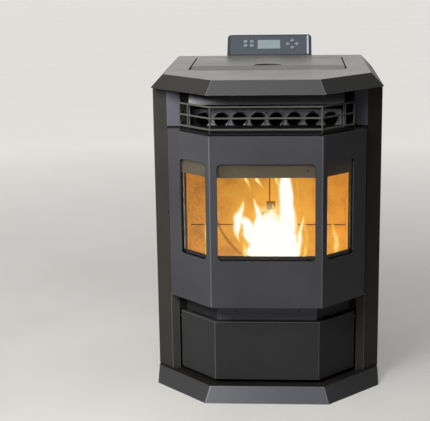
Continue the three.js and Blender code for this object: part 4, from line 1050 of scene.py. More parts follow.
@dataclass(frozen=True)
class Studio:
    """Camera at the photograph's viewing angle, a pale floor and plain soft light."""

    eye: Point = (53.28, -2755.9, 1190.39)
    yaw: float = -0.065403
    pitch: float = -0.238845
    roll: float = -0.0151795
    lens: float = 95.26
    sensor: float = 36.0
    floor_half: float = 40000.0
    fill: float = 0.06
    front_dim: float = 0.08
    front_turn: tuple[float, float] = (-0.75, 0.15)
    right_dim: float = 0.08
    right_turn: tuple[float, float] = (0.35, 0.9)
    # each lamp's name, layout place in millimetres, side in metres and power in watts
    lamps: tuple[tuple[str, Point, float, float], ...] = (
        ("key lamp", (-1350.0, -1150.0, 1950.0), 1.2, 48.0),
        ("front lamp", (-700.0, -1100.0, 1500.0), 0.7, 26.0),
        ("top lamp", (-200.0, 0.0, 2900.0), 2.4, 45.0),
        ("side lamp", (2300.0, -2400.0, 1500.0), 1.6, 0.6),
    )
    lamps_face: Point = (0.0, 200.0, 450.0)

    def build(self) -> None:
        """Make the camera, the floor, the lamps and the world."""
        self.camera()
        self.floor()
        for lamp in self.lamps:
            self.lamp(*lamp)
        self.world()

    def camera(self) -> None:
        """Make the camera and set it as the scene's."""
        data = bpy.data.cameras.new("camera")
        data.lens, data.sensor_width, data.sensor_fit = self.lens, self.sensor, "HORIZONTAL"
        data.clip_start, data.clip_end = 0.1, 100.0
        ahead = Vector((
            math.sin(self.yaw) * math.cos(self.pitch),
            math.cos(self.yaw) * math.cos(self.pitch),
            math.sin(self.pitch),
        ))
        right = Vector((math.cos(self.yaw), -math.sin(self.yaw), 0.0))
        up = right.cross(ahead)
        across = math.cos(self.roll) * right + math.sin(self.roll) * up
        upward = math.cos(self.roll) * up - math.sin(self.roll) * right
        turn = Matrix((across, upward, -ahead)).transposed().to_4x4()
        camera = bpy.data.objects.new("camera", data)
        camera.matrix_world = Matrix.Translation(place(*self.eye)) @ turn
        bpy.context.scene.collection.objects.link(camera)
        bpy.context.scene.camera = camera

    def floor(self) -> None:
        """Lay the floor under the stove."""
        bm = bmesh.new()
        bmesh.ops.create_grid(bm, x_segments=8, y_segments=8, size=self.floor_half * MM)
        floor = from_bmesh("studio_floor", bm)
        dress(floor, FLOOR)

    def lamp(self, name: str, where: Point, size: float, power: float) -> None:
        """Hang one soft square lamp that faces the middle of the stove.

        Args:
            name: the lamp's name.
            where: its layout place in millimetres.
            size: its side in metres.
            power: its power in watts.
        """
        data = bpy.data.lights.new(name, "AREA")
        data.shape, data.size, data.energy = "SQUARE", size, power
        lamp = bpy.data.objects.new(name, data)
        lamp.location = place(*where)
        to_stove = place(*self.lamps_face) - lamp.location
        lamp.rotation_euler = to_stove.to_track_quat("-Z", "Y").to_euler()
        bpy.context.scene.collection.objects.link(lamp)

    def world(self) -> None:
        """Light from all round, with a white surround for the camera, glossy and clear surfaces."""
        world = bpy.data.worlds.new("studio")
        world.use_nodes = True
        bpy.context.scene.world = world
        nodes = Nodes(world.node_tree)
        paths = nodes.add("ShaderNodeLightPath").outputs
        mirror_or_glass = nodes.math("MAXIMUM", paths["Is Glossy Ray"], paths["Is Transmission Ray"])
        seen = nodes.math("MAXIMUM", paths["Is Camera Ray"], mirror_or_glass)
        direction = nodes.add("ShaderNodeTexCoord").outputs["Generated"]
        parts = nodes.add("ShaderNodeSeparateXYZ", {0: direction}).outputs
        # what the stove mirrors: the room in front of it and at its right is dimmer than the white behind
        front = nodes.span(parts["Y"], *self.front_turn, self.front_dim, 1.0)
        right = nodes.span(parts["X"], *self.right_turn, 1.0, self.right_dim)
        mirrored = nodes.math("MULTIPLY", front, right)
        level = nodes.choose(paths["Is Camera Ray"], mirrored, 1.0)
        background = nodes.tree.nodes["Background"]
        nodes.put(background.inputs["Color"], (1.0, 1.0, 1.0, 1.0))
        nodes.put(background.inputs["Strength"], nodes.choose(seen, self.fill, level))


# ---------------------------------------------------------------- firebox and fire


@dataclass(frozen=True)
class Tongue:
    """One tongue of flame, along the line that it follows from its foot to its tip.

    Each point of the line is its x, its z and half the width there, in millimetres. Its hot and
    veil are shares of the fire's heat and body, and its rim is the width that thins at its edge.
    """

    depth: float
    line: tuple[Point, ...]
    hot: float = 1.0
    veil: float = 1.0
    rim: float = 9.0


@dataclass
class Fire:
    """The pellet fire: tongues of flame over a bed of pellets, both in the burn pot."""

    flatness: float = 0.4
    thickest: float = 20.0
    rings: int = 56
    sides: int = 28
    core: float = 18.0
    ripple: float = 0.05
    wobble: float = 0.12
    coolest: float = 0.2
    thinning: float = 1.2
    bed: tuple[float, float, float, float, float] = (-40.0, 40.0, 187.0, 239.0, 284.0)
    crown: float = 14.0
    pellets: int = 260
    pellet_radius: float = 3.0
    pellet_length: float = 11.0
    seed: int = 7
    tongues: tuple[Tongue, ...] = (
        # the white body of the fire
        Tongue(214.0, (
            (0.0, 290.0, 30.0), (10.0, 322.0, 54.0), (13.0, 345.0, 70.0), (11.0, 375.0, 67.0),
            (6.0, 405.0, 58.0), (1.0, 432.0, 42.0), (-2.0, 446.0, 26.0), (-4.0, 456.0, 10.0),
            (-5.0, 462.0, 1.0),
        ), 1.0, 1.0, 13.0),
        # the tall tongue right of centre
        Tongue(206.0, (
            (44.0, 298.0, 20.0), (50.0, 340.0, 31.0), (53.0, 380.0, 32.0), (55.0, 415.0, 30.0),
            (53.0, 448.0, 26.0), (48.5, 478.0, 23.5), (49.0, 510.0, 22.0), (50.0, 553.0, 17.5),
            (53.0, 590.0, 10.0), (50.0, 622.0, 1.0),
        )),
        # the low tongue before the chute's mouth
        Tongue(216.0, (
            (2.0, 396.0, 24.0), (8.0, 430.0, 25.0), (11.0, 452.0, 19.0), (11.0, 464.0, 9.0),
            (10.0, 470.0, 1.0),
        ), 0.9, 1.0, 8.0),
        # the pointed tongue left of centre
        Tongue(204.0, (
            (-8.0, 300.0, 24.0), (-17.0, 350.0, 33.0), (-22.0, 400.0, 30.0), (-20.0, 430.0, 21.0),
            (-21.0, 450.0, 13.5), (-30.0, 476.0, 7.5), (-37.0, 503.0, 1.0),
        )),
        # the hooked lobe at the left and the bridge that feeds it
        Tongue(210.0, (
            (-74.0, 376.0, 1.0), (-81.0, 398.0, 9.0), (-83.0, 422.0, 15.0), (-77.0, 447.0, 17.0),
            (-70.0, 470.0, 11.0), (-63.0, 500.0, 1.0),
        ), 0.75, 0.95, 12.0),
        Tongue(212.0, (
            (-92.0, 440.0, 2.0), (-76.0, 440.0, 12.0), (-58.0, 430.0, 19.0), (-43.0, 408.0, 27.0),
            (-27.0, 380.0, 34.0), (-5.0, 336.0, 14.0),
        ), 0.85, 1.0, 13.0),
        # amber streaks at the foot of the fire
        Tongue(202.0, (
            (-64.0, 322.0, 6.0), (-60.0, 346.0, 10.0), (-64.0, 372.0, 9.0), (-70.0, 400.0, 1.0),
        ), 0.4, 0.7, 9.0),
        Tongue(202.0, (
            (92.0, 320.0, 6.0), (98.0, 342.0, 9.0), (101.0, 368.0, 7.0), (106.0, 396.0, 1.0),
        ), 0.4, 0.65, 9.0),
        Tongue(200.0, (
            (72.0, 400.0, 4.0), (77.0, 432.0, 8.0), (74.0, 466.0, 6.0), (79.0, 498.0, 1.0),
        ), 0.45, 0.65, 8.0),
        # the short tongues at the right
        Tongue(208.0, (
            (70.0, 326.0, 10.0), (83.0, 345.0, 9.5), (84.5, 389.0, 10.5), (88.0, 409.0, 8.0),
            (93.0, 432.0, 5.0), (98.0, 458.0, 1.0),
        ), 0.85),
        Tongue(222.0, (
            (34.0, 430.0, 12.0), (25.0, 452.0, 9.0), (18.0, 468.0, 5.0), (13.0, 482.0, 1.0),
        ), 0.6),
        # wisps under the baffle
        Tongue(212.0, (
            (-66.0, 600.0, 1.0), (-61.0, 576.0, 7.0), (-56.5, 553.0, 7.0), (-52.0, 541.0, 4.5),
            (-45.0, 526.0, 1.0),
        ), 0.75),
        Tongue(212.0, (
            (-40.0, 600.0, 1.0), (-34.0, 576.0, 8.0), (-28.0, 553.0, 7.5), (-20.0, 540.0, 5.0),
            (-8.0, 524.0, 1.0),
        ), 0.7),
        Tongue(216.0, (
            (14.0, 596.0, 1.0), (18.0, 574.0, 9.0), (23.0, 553.0, 9.0), (28.0, 538.0, 5.0),
            (31.0, 520.0, 1.0),
        ), 0.5, 0.8),
        # thin amber veils round the fire
        Tongue(226.0, (
            (4.0, 296.0, 44.0), (12.0, 345.0, 82.0), (8.0, 400.0, 84.0), (0.0, 440.0, 70.0),
            (-24.0, 462.0, 30.0), (-34.0, 482.0, 2.0),
        ), 0.35, 0.4, 40.0),
        Tongue(218.0, (
            (100.0, 330.0, 4.0), (106.0, 372.0, 9.0), (101.0, 420.0, 8.0), (96.0, 470.0, 1.0),
        ), 0.3, 0.4, 9.0),
        Tongue(218.0, (
            (82.0, 440.0, 4.0), (84.0, 480.0, 9.0), (80.0, 520.0, 7.0), (76.0, 560.0, 1.0),
        ), 0.3, 0.35, 9.0),
        # licks along the side boards, seen in the side windows
        Tongue(236.0, (
            (188.0, 318.0, 6.0), (186.0, 350.0, 15.0), (182.0, 382.0, 13.0), (176.0, 410.0, 8.0),
            (171.0, 440.0, 1.0),
        ), 0.36, 0.6, 14.0),
        Tongue(236.0, (
            (-166.0, 330.0, 3.0), (-164.0, 360.0, 7.0), (-166.0, 396.0, 6.0), (-170.0, 428.0, 1.0),
        ), 0.7, 0.8),
    )

    def build(self) -> None:
        """Make the flames and the bed of pellets."""
        rng = random.Random(self.seed)
        for index, tongue in enumerate(self.tongues, 1):
            self.tongue(f"flame_{index}", tongue, rng)
        self.bed_of_pellets(rng)

    def tongue(self, name: str, shape: Tongue, rng: random.Random) -> Piece:
        """Make one tongue as a closed lens-shaped body along its line.

        Args:
            name: the piece's name.
            shape: the tongue.
            rng: the shared random source.

        Returns:
            The piece, with its warmth and veil attributes.
        """
        phases = [rng.uniform(0, 2 * math.pi) for _ in range(2)]
        path = [along(shape.line, i / self.rings) for i in range(self.rings + 1)]
        bm = bmesh.new()
        for layer in ("warmth", "veil"):
            bm.verts.layers.float.new(layer)
        warmth, veil = (bm.verts.layers.float[layer] for layer in ("warmth", "veil"))
        loops = []
        for i, (x, z, half) in enumerate(path):
            t = i / self.rings
            if i in (0, self.rings):
                pole = bm.verts.new(place(x, shape.depth, z))
                pole[warmth], pole[veil] = 0.0, 0.0
                loops.append([pole])
                continue
            ahead = Vector((path[i + 1][0] - path[i - 1][0], path[i + 1][1] - path[i - 1][1])).normalized()
            half *= 1 + self.ripple * math.sin(23 * t + phases[0])
            drift = self.wobble * half * math.sin(13 * t + phases[1])
            thick = min(half * self.flatness, self.thickest)
            loop = []
            for k in range(self.sides):
                a = 2 * math.pi * k / self.sides
                u, v = math.cos(a), math.sin(a)
                off = u * half + drift
                spot = bm.verts.new(place(x + ahead.y * off, shape.depth + v * thick, z - ahead.x * off))
                inside = (1 - abs(u)) * half
                spot[warmth] = shape.hot * min(1.0, self.coolest + inside / self.core)
                rim = min(shape.rim, 0.9 * half + 0.1)
                spot[veil] = shape.veil * min(1.0, inside / rim) ** self.thinning
                loop.append(spot)
            loops.append(loop)
        for low, high in zip(loops, loops[1:]):
            for k in range(self.sides):
                j = (k + 1) % self.sides
                if len(low) == 1:
                    bm.faces.new((low[0], high[k], high[j])[::-1])
                elif len(high) == 1:
                    bm.faces.new((low[k], low[j], high[0]))
                else:
                    bm.faces.new((low[k], low[j], high[j], high[k]))
        bmesh.ops.recalc_face_normals(bm, faces=bm.faces)
        piece = from_bmesh(name, bm, smooth=True)
        dress(piece, FIRE)
        return settle(piece, Body.POT)

    def bed_of_pellets(self, rng: random.Random) -> Piece:
        """Heap pellets in the pot, as instances turned into plain mesh."""
        x0, x1, y0, y1, z = self.bed
        spots = []
        for _ in range(self.pellets):
            x, y = rng.uniform(x0, x1), rng.uniform(y0, y1)
            crown = 1 - ((2 * (x - x0) / (x1 - x0) - 1) ** 2 + (2 * (y - y0) / (y1 - y0) - 1) ** 2) / 2
            lie = Vector((rng.uniform(-1, 1), rng.uniform(-1, 1), rng.uniform(-0.25, 0.35)))
            spots.append((place(x, y, z + self.crown * crown + rng.uniform(-4, 3)), lie))
        g = Grower("Pellet bed")
        radius, length = g.size("Radius"), g.size("Length")
        pellet = g.add("GeometryNodeMeshCylinder", {"Vertices": 8, "Radius": radius, "Depth": length})
        g.close(scatter(g, pellet.outputs["Mesh"]))
        sizes = {"Radius": self.pellet_radius * MM, "Length": self.pellet_length * MM}
        pile = g.grow(marks("pellet_bed", spots), EMBER, sizes)
        return settle(pile, Body.POT)


@dataclass
class Firebox:
    """Brick-lined firebox with its baffle, burn pot and pot seat."""

    back_face: float = 279.7
    side_face: float = 210.7
    joint: float = 3.0
    joint_depth: float = 5.0
    course: float = 410.0
    chute_half: float = 30.0
    chute_top: float = 446.0
    split: float = 5.0
    top: float = 640.0
    reach: float = 214.0
    arch_centre: tuple[float, float] = (70.0, 498.0)
    arch_radius: float = 221.0
    arch_sweep: tuple[float, float] = (194.0, 230.0)
    arch_steps: int = 18
    arch_width: float = 8.0
    arch_depth: float = 1.3
    # a cutter starts this far before a face, and runs this far into another cut
    clearance: float = 5.0
    overlap: float = 1.0
    side_joint_y: tuple[float, float] = (150.0, 290.0)

    def build(self) -> None:
        """Make the bricks with their joints, and finish the iron and the shell."""
        soften("brick_back", Body.CABINET, BRICK, width=0.7, cutters=self.back_joints())
        for side, sign in (("left", -1), ("right", 1)):
            soften(f"brick_{side}", Body.CABINET, BRICK, width=0.7, cutters=[self.side_joint(sign)])
        soften("burn_pot", Body.POT, IRON, width=1.2)
        soften("pot_seat", Body.CABINET, IRON, width=0.8)
        soften("baffle_plate", Body.CABINET, IRON, width=0.8)
        keep("igniter", MILL_STEEL)
        keep("firebox_shell", MATT_BLACK)

    def back_joints(self) -> list[Piece]:
        """Return the cutters for the joints between the back boards and for the arch groove, whose dark fill
        is a painted shadow.
        """
        front, deep, half = self.back_face - self.clearance, self.back_face + self.joint_depth, self.joint / 2
        foot, head = self.chute_top - self.overlap, self.top + self.clearance
        bars = [((self.split - half, front, foot), (self.split + half, deep, head))]
        for sign in (-1, 1):
            ends = sorted((sign * (self.chute_half - self.overlap), sign * self.reach))
            bars.append(((ends[0], front, self.course - half), (ends[1], deep, self.course + half)))
        cutters = [box("back_joint_cutter", low, high) for low, high in bars]
        cutters.append(self.arch(front, self.back_face + self.arch_depth))
        return cutters

    def arch(self, front: float, deep: float) -> Piece:
        """Return the cutter for the curved line below the course joint.

        Args:
            front: the ring's front in millimetres.
            deep: the bottom of the groove in millimetres.
        """
        bm = bmesh.new()
        x0, z0 = self.arch_centre
        start, end = self.arch_sweep
        sections = []
        for i in range(self.arch_steps + 1):
            a = math.radians(start + (end - start) * i / self.arch_steps)
            sections.append([
                bm.verts.new(place(x0 + r * math.cos(a), y, z0 + r * math.sin(a)))
                for r, y in (
                    (self.arch_radius, front), (self.arch_radius + self.arch_width, front),
                    (self.arch_radius + self.arch_width, deep), (self.arch_radius, deep),
                )
            ])
        bm.faces.new(sections[0])
        bm.faces.new(sections[-1][::-1])
        for low, high in zip(sections, sections[1:]):
            for k in range(4):
                j = (k + 1) % 4
                bm.faces.new((low[k], high[k], high[j], low[j]))
        bmesh.ops.recalc_face_normals(bm, faces=bm.faces)
        return from_bmesh("arch_cutter", bm)

    def side_joint(self, sign: int) -> Piece:
        """Return the cutter for one side board's joint, on the side of that sign."""
        xs = sorted((sign * (self.side_face - self.clearance), sign * (self.side_face + self.joint_depth)))
        half = self.joint / 2
        near, far = self.side_joint_y
        low, high = (xs[0], near, self.course - half), (xs[1], far, self.course + half)
        return box("side_joint_cutter", low, high)


# ---------------------------------------------------------------- cabinet


FRONT, BACK = Vector((0, -1, 0)), Vector((0, 1, 0))
# a face whose normal has more than this along an axis faces that way
FLAT = 0.97
# with more than this it or the rounding beside it does
NEARLY = 0.9
# with more than this it faces more that way than another
MOSTLY = 0.5
# with more than this it is turned toward that side
TURNED = 0.4
# a folded corner whose normal rises more than this isn't a wall
RISING = 0.15


@dataclass
class Cabinet:
    """Folded outer sheets, plinth, apron and rear panel, with their screws and louvre hoods."""

    half: float = 299.0
    depth: float = 604.0
    apron_front: float = 69.0
    brow_line: float = 703.0
    cheek_line: float = 706.5
    plinth_line: float = 253.0
    fold_edge: float = 260.5
    fold_depth: float = 158.0
    apron_screws: tuple[tuple[float, float], ...] = ((-79.0, 230.0), (83.0, 230.0))
    rear_rows: tuple[float, ...] = (60.0, 240.0, 420.0, 600.0, 780.0)
    rear_margin: float = 12.0
    side_rows: tuple[float, ...] = (70.0, 430.0, 790.0)
    side_inset: float = 10.0
    vent_count: int = 8
    vent_pitch: float = 14.0
    vent_bottom: float = 96.0
    vent_x: float = -160.0
    vent_length: float = 92.0
    vent_rise: float = 4.0
    vent_above: float = 4.5
    vent_sides: int = 16
    vent_scale: Point = (1.0, 1.3, 0.8)

    def build(self, screws: ScrewMaker) -> None:
        """Round the sheets' folds and set the fasteners.

        Args:
            screws: the maker of screws.
        """
        # painted light and shade: the plinth's front is a bluer, paler copy of the paint, its turned sides
        # are darker and its ledge darker still
        plinth = soften("base_plinth", Body.CABINET, PLINTH_REFLECTION_PAINT, EDGE_HIGHLIGHT_PAINT, 1.4)
        repaint(plinth, SHADED_PAINT, lambda middle, normal: abs(normal.x) > TURNED)
        repaint(plinth, DEEP_SHADE_PAINT, lambda middle, normal: normal.z > FLAT)
        # painted light and shade: the apron's front is lightened where the door shades it, and its turned
        # sides are darker
        apron = soften("lower_apron", Body.CABINET, LIGHTENED_PAINT, EDGE_HIGHLIGHT_PAINT, 1.0)
        repaint(apron, SHADED_PAINT, lambda middle, normal: abs(normal.x) > TURNED)
        # painted shade: the top's front and side chamfers are darker copies of its paint, and only its flats
        # keep the top's paint
        cover = soften("top_cover", Body.CABINET, SHADED_PAINT, EDGE_HIGHLIGHT_PAINT, 1.4)
        repaint(cover, TOP_PAINT, lambda middle, normal: normal.z > FLAT)
        repaint(
            cover, DEEP_SHADE_PAINT, lambda middle, normal: abs(normal.x) > TURNED and normal.z > RISING
        )
        for side in ("left", "right"):
            column = soften(
                f"side_panel_{side}", Body.CABINET, COLUMN_PAINT, EDGE_HIGHLIGHT_PAINT, 0.8,
                divide=(("z", self.cheek_line), ("z", self.brow_line), ("z", self.plinth_line)),
            )
            # painted light: the columns' front cheeks above the door are a lightened copy of their paint
            repaint(
                column, LIGHTENED_PAINT, lambda middle, normal: normal.y < -FLAT and middle.z > self.cheek_line
            )
            # painted shadow: the rebate behind the door's edge is matt black, for the dark gap round the door
            repaint(
                column, MATT_BLACK,
                lambda middle, normal: self.plinth_line < middle.z < self.cheek_line and (
                    normal.y < -FLAT or (abs(middle.x) < self.fold_edge and middle.y < self.fold_depth)
                ),
            )
        keep("rear_panel", MATT_BLACK)
        screws.set(
            "apron_screws", Body.CABINET,
            ((place(x, self.apron_front + 0.2, z), FRONT) for x, z in self.apron_screws),
            2.6, BLACK_OXIDE, Slot.DARK, 1.4,
        )
        reach = self.half - self.rear_margin
        rear = [(place(s * reach, self.depth - 0.1, z), BACK) for s in (-1, 1) for z in self.rear_rows]
        screws.set("rear_panel_screws", Body.CABINET, rear, 4.0, SCREW_ZINC, Slot.STEEL)
        sides = [
            (place(s * (self.half - 0.05), self.depth - self.side_inset, z), Vector((s, 0, 0)))
            for s in (-1, 1) for z in self.side_rows
        ]
        screws.set("side_panel_screws", Body.CABINET, sides, 3.2, BLACK_OXIDE, Slot.DARK, 0.5)
        self.louvres()

    def louvres(self) -> Piece:
        """Set a pressed hood over each vent slot in the rear panel."""
        g = Grower("Louvre hoods")
        length, rise = g.size("Length"), g.size("Rise")
        rod = g.add(
            "GeometryNodeMeshCylinder",
            {"Vertices": self.vent_sides, "Radius": rise, "Depth": length},
        )
        turn = (0.0, math.radians(90), 0.0)
        lying = g.add("GeometryNodeTransform", {"Geometry": rod.outputs["Mesh"], "Rotation": turn})
        flat = g.add("GeometryNodeTransform", {"Geometry": lying.outputs[0], "Scale": self.vent_scale})
        g.close(scatter(g, flat.outputs[0]))
        heights = (self.vent_bottom + self.vent_above + i * self.vent_pitch for i in range(self.vent_count))
        spots = [(place(self.vent_x, self.depth, z), BACK) for z in heights]
        sizes = {"Length": self.vent_length * MM, "Rise": self.vent_rise * MM}
        hoods = g.grow(marks("louvre_hoods", spots), MATT_BLACK, sizes)
        return settle(hoods, Body.CABINET)


# ---------------------------------------------------------------- door


@dataclass
class Door:
    """Bay door with three panes, their retainer, the rope seals, hinges and latch."""

    half: float = 141.5
    front: float = 18.6
    side: float = 256.0
    retainer_inset: float = 8.6
    retainer_sheet: float = 3.0
    brow_bottom: float = 594.0
    window_heights: tuple[float, float] = (379.0, 633.0)
    window_edges: tuple[float, float, float] = (125.0, 150.0, 232.0)
    brow_screws: tuple[float, float] = (105.0, 612.0)
    plug_spots: tuple[float, float] = (27.0, 318.0)
    crease_highlight_band: float = 1.3
    edge_shadow_band: float = 1.8
    seal_path: tuple[float, float, float, float] = (222.0, 153.3, 268.5, 689.0)
    seal_radius: float = 4.0
    seal_corner: float = 12.0
    seal_pitch: float = 16.0
    pane_rope: tuple[float, float, float] = (114.6, 386.0, 600.0)
    pane_rope_radius: float = 2.4
    pane_rope_pitch: float = 9.0
    strands: int = 3
    strand_sides: int = 8
    strand_share: float = 0.52
    strand_offset: float = 0.46
    step_share: float = 0.125

    def build(self, screws: ScrewMaker) -> None:
        """Make the door's pieces.

        Args:
            screws: the maker of screws.
        """
        near, far = self.half - self.crease_highlight_band, self.half + self.crease_highlight_band
        shell = soften(
            "door_shell", Body.DOOR, CHARCOAL, EDGE_HIGHLIGHT_PAINT, 1.2,
            divide=tuple(("x", sign * x) for sign in (-1, 1) for x in (near, far)),
        )
        # painted highlight: a pale band along each of the door's vertical creases
        repaint(
            shell, CREASE_HIGHLIGHT_PAINT, lambda middle, normal: near < abs(middle.x) < far and normal.y < -MOSTLY
        )
        repaint(shell, SOOT_BLACK, self.in_window_edge)
        # painted shadow: a matt black band along the door's outer edges, for the dark gap beside them
        repaint(shell, MATT_BLACK, lambda middle, normal: abs(middle.x) > self.side - self.edge_shadow_band)
        for node in ("glass_centre", "glass_left", "glass_right"):
            soften(node, Body.DOOR, PANE, width=0.5)
        retainer = soften(
            "glass_retainer", Body.DOOR, SOOT_BLACK, width=0.4, divide=(("z", self.brow_bottom),)
        )
        repaint(
            retainer, HEAT_GREY, lambda middle, normal: middle.z > self.brow_bottom and normal.y < -MOSTLY
        )
        soften("hinge_upper", Body.CABINET, MATT_BLACK, width=0.4)
        soften("hinge_lower", Body.CABINET, MATT_BLACK, width=0.4)
        soften("door_latch", Body.LATCH, BLACK_OXIDE, width=0.4)
        x, z = self.brow_screws
        brow = [(place(s * x, self.front + self.retainer_inset - 0.1, z), FRONT) for s in (-1, 1)]
        screws.set("brow_screws", Body.DOOR, brow, 2.8, BLACK_OXIDE, Slot.DARK, 0.2)
        x, z = self.plug_spots
        plugs = [(place(s * x, self.front + 0.1, z), FRONT) for s in (-1, 1)]
        screws.set("blank_plate_plugs", Body.DOOR, plugs, 1.9, BLACK_OXIDE, Slot.DARK, 0.5)
        self.seals()

    def in_window_edge(self, middle: Vector, normal: Vector) -> bool:
        """Return whether a face of the shell lines one of the three window openings."""
        low, high = self.window_heights
        across = abs(middle.x)
        beside = across < self.window_edges[0] or self.window_edges[1] < across < self.window_edges[2]
        c = math.cos(BAY_TURN)
        flats = (FRONT, Vector((c, -c, 0)), Vector((-c, -c, 0)))
        return low < middle.z < high and beside and all(abs(normal.dot(n)) < FLAT for n in flats)

    def rope_tree(self) -> Grower:
        """Return the tree that plaits three strands round a line."""
        g = Grower("Plaited rope")
        radius, pitch = g.size("Radius"), g.size("Pitch")
        strand = g.math("MULTIPLY", radius, self.strand_share)
        path = g.add(
            "GeometryNodeResampleCurve",
            {"Curve": g.start.outputs["Geometry"], "Length": g.math("MULTIPLY", pitch, self.step_share)},
            mode="LENGTH",
        )
        joined = g.add("GeometryNodeJoinGeometry")
        made = []
        for turn in range(self.strands):
            travelled = g.add("GeometryNodeSplineParameter").outputs["Length"]
            turns = g.math("MULTIPLY", g.math("DIVIDE", travelled, pitch), 2 * math.pi)
            angle = g.math("ADD", turns, 2 * math.pi * turn / self.strands)
            normal, tangent = g.add("GeometryNodeInputNormal"), g.add("GeometryNodeInputTangent")
            side = g.add(
                "ShaderNodeVectorRotate",
                {"Vector": normal.outputs[0], "Axis": tangent.outputs[0], "Angle": angle},
                rotation_type="AXIS_ANGLE",
            )
            offset = g.add(
                "ShaderNodeVectorMath",
                {0: side.outputs[0], "Scale": g.math("MULTIPLY", radius, self.strand_offset)},
                operation="SCALE",
            )
            moved = g.add(
                "GeometryNodeSetPosition", {"Geometry": path.outputs[0], "Offset": offset.outputs[0]}
            )
            ring = g.add(
                "GeometryNodeCurvePrimitiveCircle", {"Resolution": self.strand_sides, "Radius": strand}
            )
            made.append(g.add(
                "GeometryNodeCurveToMesh",
                {"Curve": moved.outputs[0], "Profile Curve": ring.outputs[0], "Fill Caps": True},
            ).outputs[0])
        for mesh in made:
            g.tree.links.new(mesh, joined.inputs[0])
        g.close(joined.outputs[0])
        return g

    def seals(self) -> None:
        """Plait the glass rope round the door's back and up the outer edges of the side panes."""
        g = self.rope_tree()
        x, y, z0, z1 = self.seal_path
        r = self.seal_corner
        corners = [(-x + r, z0 + r, 180), (x - r, z0 + r, 270), (x - r, z1 - r, 0), (-x + r, z1 - r, 90)]
        loop = []
        for cx, cz, start in corners:
            for step in range(7):
                a = math.radians(start + 15 * step)
                loop.append(place(cx + r * math.cos(a), y, cz + r * math.sin(a)))
        line = spline("door_rope_seal", loop, True)
        self.rope(g, line, self.seal_radius, self.seal_pitch, ("door_gasket",))
        s, z0, z1 = self.pane_rope
        inset = self.retainer_inset + self.retainer_sheet + self.pane_rope_radius
        for name, sign in (("left", -1), ("right", 1)):
            points = [self.on_facet(sign, s, inset, z0 + (z1 - z0) * i / 12) for i in range(13)]
            line = spline(f"pane_rope_{name}", points, False)
            self.rope(g, line, self.pane_rope_radius, self.pane_rope_pitch)

    @staticmethod
    def rope(
        tree: Grower, line: Piece, radius: float, pitch: float, replaces: Sequence[str] = ()
    ) -> Piece:
        """Plait one rope along a line and fix it to the door.

        Args:
            tree: the rope's tree.
            line: the curve object that it follows.
            radius: the rope's radius in millimetres.
            pitch: how far a strand runs in one turn, in millimetres.
            replaces: CAD nodes that it stands for.

        Returns:
            The rope as one mesh.
        """
        rope = tree.grow(line, ROPE, {"Radius": radius * MM, "Pitch": pitch * MM})
        shade_smooth(rope)
        return settle(rope, Body.DOOR, replaces)

    def on_facet(self, sign: int, s: float, inset: float, z: float) -> Vector:
        """Return a point on a side facet.

        Args:
            sign: -1 for the left facet, 1 for the right.
            s: the distance from the crease along the facet, in millimetres.
            inset: the distance behind the facet's face.
            z: the height.

        Returns:
            The point in metres.
        """
        c = math.cos(BAY_TURN)
        x = self.half + (s - inset) * c
        y = self.front + (s + inset) * c
        return place(sign * x, y, z)


def spline(name: str, points: Sequence[Vector], closed: bool) -> Piece:
    """Make a poly spline through points in metres."""
    curve = bpy.data.curves.new(name, "CURVE")
    curve.dimensions = "3D"
    line = curve.splines.new("POLY")
    line.points.add(len(points) - 1)
    for item, point in zip(line.points, points):
        item.co = (*point, 1.0)
    line.use_cyclic_u = closed
    made = bpy.data.objects.new(name, curve)
    bpy.context.scene.collection.objects.link(made)
    return made


# ---------------------------------------------------------------- warm air, ash, fuel, blowers


@dataclass
class WarmAirOutlet:
    """Grey hood, wire rails and the mouths of the eight heat tubes."""

    count: int = 8
    pitch: float = 46.9
    z: float = 723.0
    mouth_y: float = 151.3
    ring_radius: float = 19.0
    ring_wire: float = 1.5
    ring_steps: int = 40
    wire_sides: int = 8
    plate_depth: float = 12.0
    tray_top: float = 712.0

    def build(self) -> None:
        """Dress the hood, the rails and the tubes."""
        # painted reflection: the hood is a flat pale grey instead of shiny metal
        soften("outlet_hood", Body.CABINET, HOOD_REFLECTION_PAINT, width=0.4)
        grille = soften("outlet_grille", Body.CABINET, RAIL_PAINT, width=0.5)
        # painted shadow: the grille below the tray's top is matt black
        repaint(grille, MATT_BLACK, lambda middle, normal: middle.z < self.tray_top)
        tubes = soften("heat_exchanger", Body.CABINET, MATT_BLACK, width=0.3)
        # painted light: the tube plate's front is paler, so that it shows lit in the cover's shade
        repaint(
            tubes, LIT_TUBE_PLATE,
            lambda middle, normal: normal.y < -NEARLY and middle.y < self.mouth_y + self.plate_depth,
        )
        soften("tube_scraper", Body.SCRAPER, MILL_STEEL, width=0.3)
        g = Grower("Tube mouths")
        radius, wire = g.size("Radius"), g.size("Wire")
        ring = g.add("GeometryNodeCurvePrimitiveCircle", {"Resolution": self.ring_steps, "Radius": radius})
        bead = g.add("GeometryNodeCurvePrimitiveCircle", {"Resolution": self.wire_sides, "Radius": wire})
        rim = g.add(
            "GeometryNodeCurveToMesh", {"Curve": ring.outputs[0], "Profile Curve": bead.outputs[0]}
        )
        g.close(scatter(g, rim.outputs[0]))
        middle = (self.count - 1) / 2
        spots = [
            (place((i - middle) * self.pitch, self.mouth_y, self.z), FRONT) for i in range(self.count)
        ]
        sizes = {"Radius": self.ring_radius * MM, "Wire": self.ring_wire * MM}
        rims = g.grow(marks("tube_rims", spots), MILL_STEEL, sizes)
        settle(rims, Body.CABINET)


